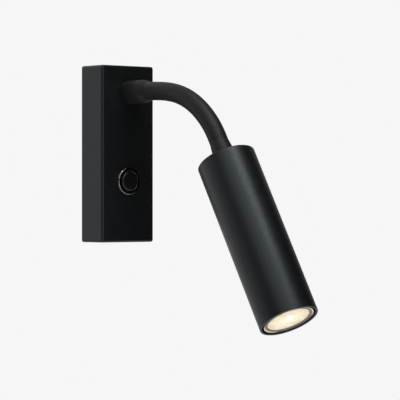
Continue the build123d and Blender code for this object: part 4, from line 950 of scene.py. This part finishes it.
class LAMP_OT_stage(bpy.types.Operator):
    """Makes the camera, the pale floor and background, and the studio's lamps"""

    bl_idname = "lamp.stage"
    bl_label = "Stage"

    def execute(self, context):
        settings = context.scene.lamp_stage
        camera = bpy.data.cameras.new("camera")
        camera.sensor_width = 36.0
        camera.lens = settings.lens
        camera.clip_end = 50
        view = bpy.data.objects.new("camera", camera)
        forward = Vector((
            -sin(settings.azimuth) * cos(settings.pitch),
            cos(settings.azimuth) * cos(settings.pitch),
            -sin(settings.pitch),
        ))
        view.location = Vector(settings.look_at) - forward * settings.distance
        view.rotation_euler = forward.to_track_quat("-Z", "Y").to_euler()
        context.scene.collection.objects.link(view)
        context.scene.camera = view
        context.scene.view_settings.view_transform = "Standard"

        self.background(settings)
        self.floor(settings)
        middle = (HEAD.translation + ARM.translation) / 2
        for name, place, size, power in SOFTBOXES:
            softbox(name, place, middle, size, power)
        return {"FINISHED"}

    def background(self, settings):
        """A plain background for the camera, a soft even light, and for glossy rays a dark room with its glows."""
        world = bpy.data.worlds.new("studio")
        bpy.context.scene.world = world
        world.use_nodes = True
        tree = world.node_tree
        path, seen = seen_background(tree)
        direction = tree.nodes.new("ShaderNodeTexCoord").outputs["Generated"]
        room = None
        for toward, strength in ROOM_GLOWS:
            angle = tree.nodes.new("ShaderNodeVectorMath")
            angle.operation = "DOT_PRODUCT"
            angle.inputs[1].default_value = Vector(toward).normalized()
            tree.links.new(direction, angle.inputs[0])
            glow = tree.nodes.new("ShaderNodeMapRange")
            glow.interpolation_type = "SMOOTHSTEP"
            tree.links.new(angle.outputs["Value"], glow.inputs["Value"])
            ends = {"From Min": cos(GLOW_REACH), "From Max": 1.0, "To Min": 0.0, "To Max": strength}
            for socket, value in ends.items():
                glow.inputs[socket].default_value = value
            total = tree.nodes.new("ShaderNodeMath")
            tree.links.new(glow.outputs["Result"], total.inputs[0])
            if room is None:
                total.inputs[1].default_value = 0.0
            else:
                tree.links.new(room, total.inputs[1])
            room = total.outputs["Value"]
        gloss = tree.nodes.new("ShaderNodeMix")
        gloss.data_type = "FLOAT"
        tree.links.new(path.outputs["Is Glossy Ray"], gloss.inputs["Factor"])
        gloss.inputs[2].default_value = settings.fill
        tree.links.new(room, gloss.inputs[3])
        shown = tree.nodes.new("ShaderNodeMix")
        shown.data_type = "FLOAT"
        tree.links.new(seen, shown.inputs["Factor"])
        tree.links.new(gloss.outputs[0], shown.inputs[2])
        shown.inputs[3].default_value = 1.0
        light = tree.nodes["Background"]
        light.inputs["Color"].default_value = (*settings.background, 1)
        tree.links.new(shown.outputs[0], light.inputs["Strength"])

    def floor(self, settings):
        """A pale floor far under the lamp, clear from below, which fades into the background round its rim."""
        shape = bmesh.new()
        bmesh.ops.create_circle(shape, cap_ends=True, segments=96, radius=settings.floor_radius)
        mesh = bpy.data.meshes.new("floor")
        shape.to_mesh(mesh)
        shape.free()
        pale = Finish("floor_paint", specular_ior_level=0.1)
        paint = tuple(settings.background)
        pale.colour(pale.colours(pale.grain(60.0, 3.0), (0.3, lighter(paint, 0.95)), (0.7, lighter(paint, 0.98))))
        pale.roughness(pale.between(pale.grain(8.0, 3.0), 0.7, 0.85))
        path, seen = seen_background(pale.tree)
        lift = pale.node("ShaderNodeMath", Value=seen)
        lift.operation = "MULTIPLY"
        lift.inputs[1].default_value = settings.floor_lift
        lit = pale.node("ShaderNodeMixShader", Fac=lift.outputs["Value"])
        pale.feed(lit.inputs[1], pale.shader.outputs["BSDF"])
        pale.feed(lit.inputs[2], pale.node("ShaderNodeEmission", Color=(*paint, 1)).outputs["Emission"])
        from_middle = pale.node("ShaderNodeVectorMath", Vector=pale.place)
        from_middle.operation = "LENGTH"
        fade = pale.between(from_middle.outputs["Value"], 0.0, 1.0, settings.floor_radius * 0.3, settings.floor_radius)
        unseen = pale.node("ShaderNodeMath", Value=fade)
        unseen.operation = "MAXIMUM"
        pale.feed(unseen.inputs[1], pale.tree.nodes.new("ShaderNodeNewGeometry").outputs["Backfacing"])
        faded = pale.node("ShaderNodeMixShader", Fac=unseen.outputs["Value"])
        pale.feed(faded.inputs[1], lit.outputs["Shader"])
        pale.feed(faded.inputs[2], pale.node("ShaderNodeBsdfTransparent").outputs["BSDF"])
        pale.feed(pale.tree.nodes["Material Output"].inputs["Surface"], faded.outputs["Shader"])
        ground = piece("floor", mesh, pale.material)
        ground.location.z = settings.floor_height


# ---- panel and registration ----

PARTS = (LAMP_OT_stage, LAMP_OT_wall_box, LAMP_OT_switch, LAMP_OT_arm, LAMP_OT_head, LAMP_OT_bulb)
SETTINGS = {
    "lamp_stage": StageSettings,
    "lamp_box": BoxSettings,
    "lamp_switch": SwitchSettings,
    "lamp_arm": ArmSettings,
    "lamp_head": HeadSettings,
    "lamp_bulb": BulbSettings,
}


class LAMP_PT_parts(bpy.types.Panel):
    """Lists the lamp's parts in the sidebar"""

    bl_label = "Reading lamp"
    bl_idname = "LAMP_PT_parts"
    bl_space_type = "VIEW_3D"
    bl_region_type = "UI"
    bl_category = "Reading lamp"

    def draw(self, context):
        for part, (settings_name, group) in zip(PARTS, SETTINGS.items()):
            section = self.layout.box()
            section.operator(part.bl_idname)
            for setting in group.__annotations__:
                section.prop(getattr(context.scene, settings_name), setting)


def register():
    for group in SETTINGS.values():
        bpy.utils.register_class(group)
    for name, group in SETTINGS.items():
        setattr(bpy.types.Scene, name, bpy.props.PointerProperty(type=group))
    for shown in (*PARTS, LAMP_PT_parts):
        bpy.utils.register_class(shown)


def unregister():
    for shown in (LAMP_PT_parts, *reversed(PARTS)):
        bpy.utils.unregister_class(shown)
    for name, group in reversed(SETTINGS.items()):
        delattr(bpy.types.Scene, name)
        bpy.utils.unregister_class(group)


def main():
    register()
    bpy.ops.lamp.stage()
    bpy.ops.lamp.wall_box()
    bpy.ops.lamp.switch()
    bpy.ops.lamp.arm()
    bpy.ops.lamp.head()
    bpy.ops.lamp.bulb()


if __name__ == "__main__":
    main()
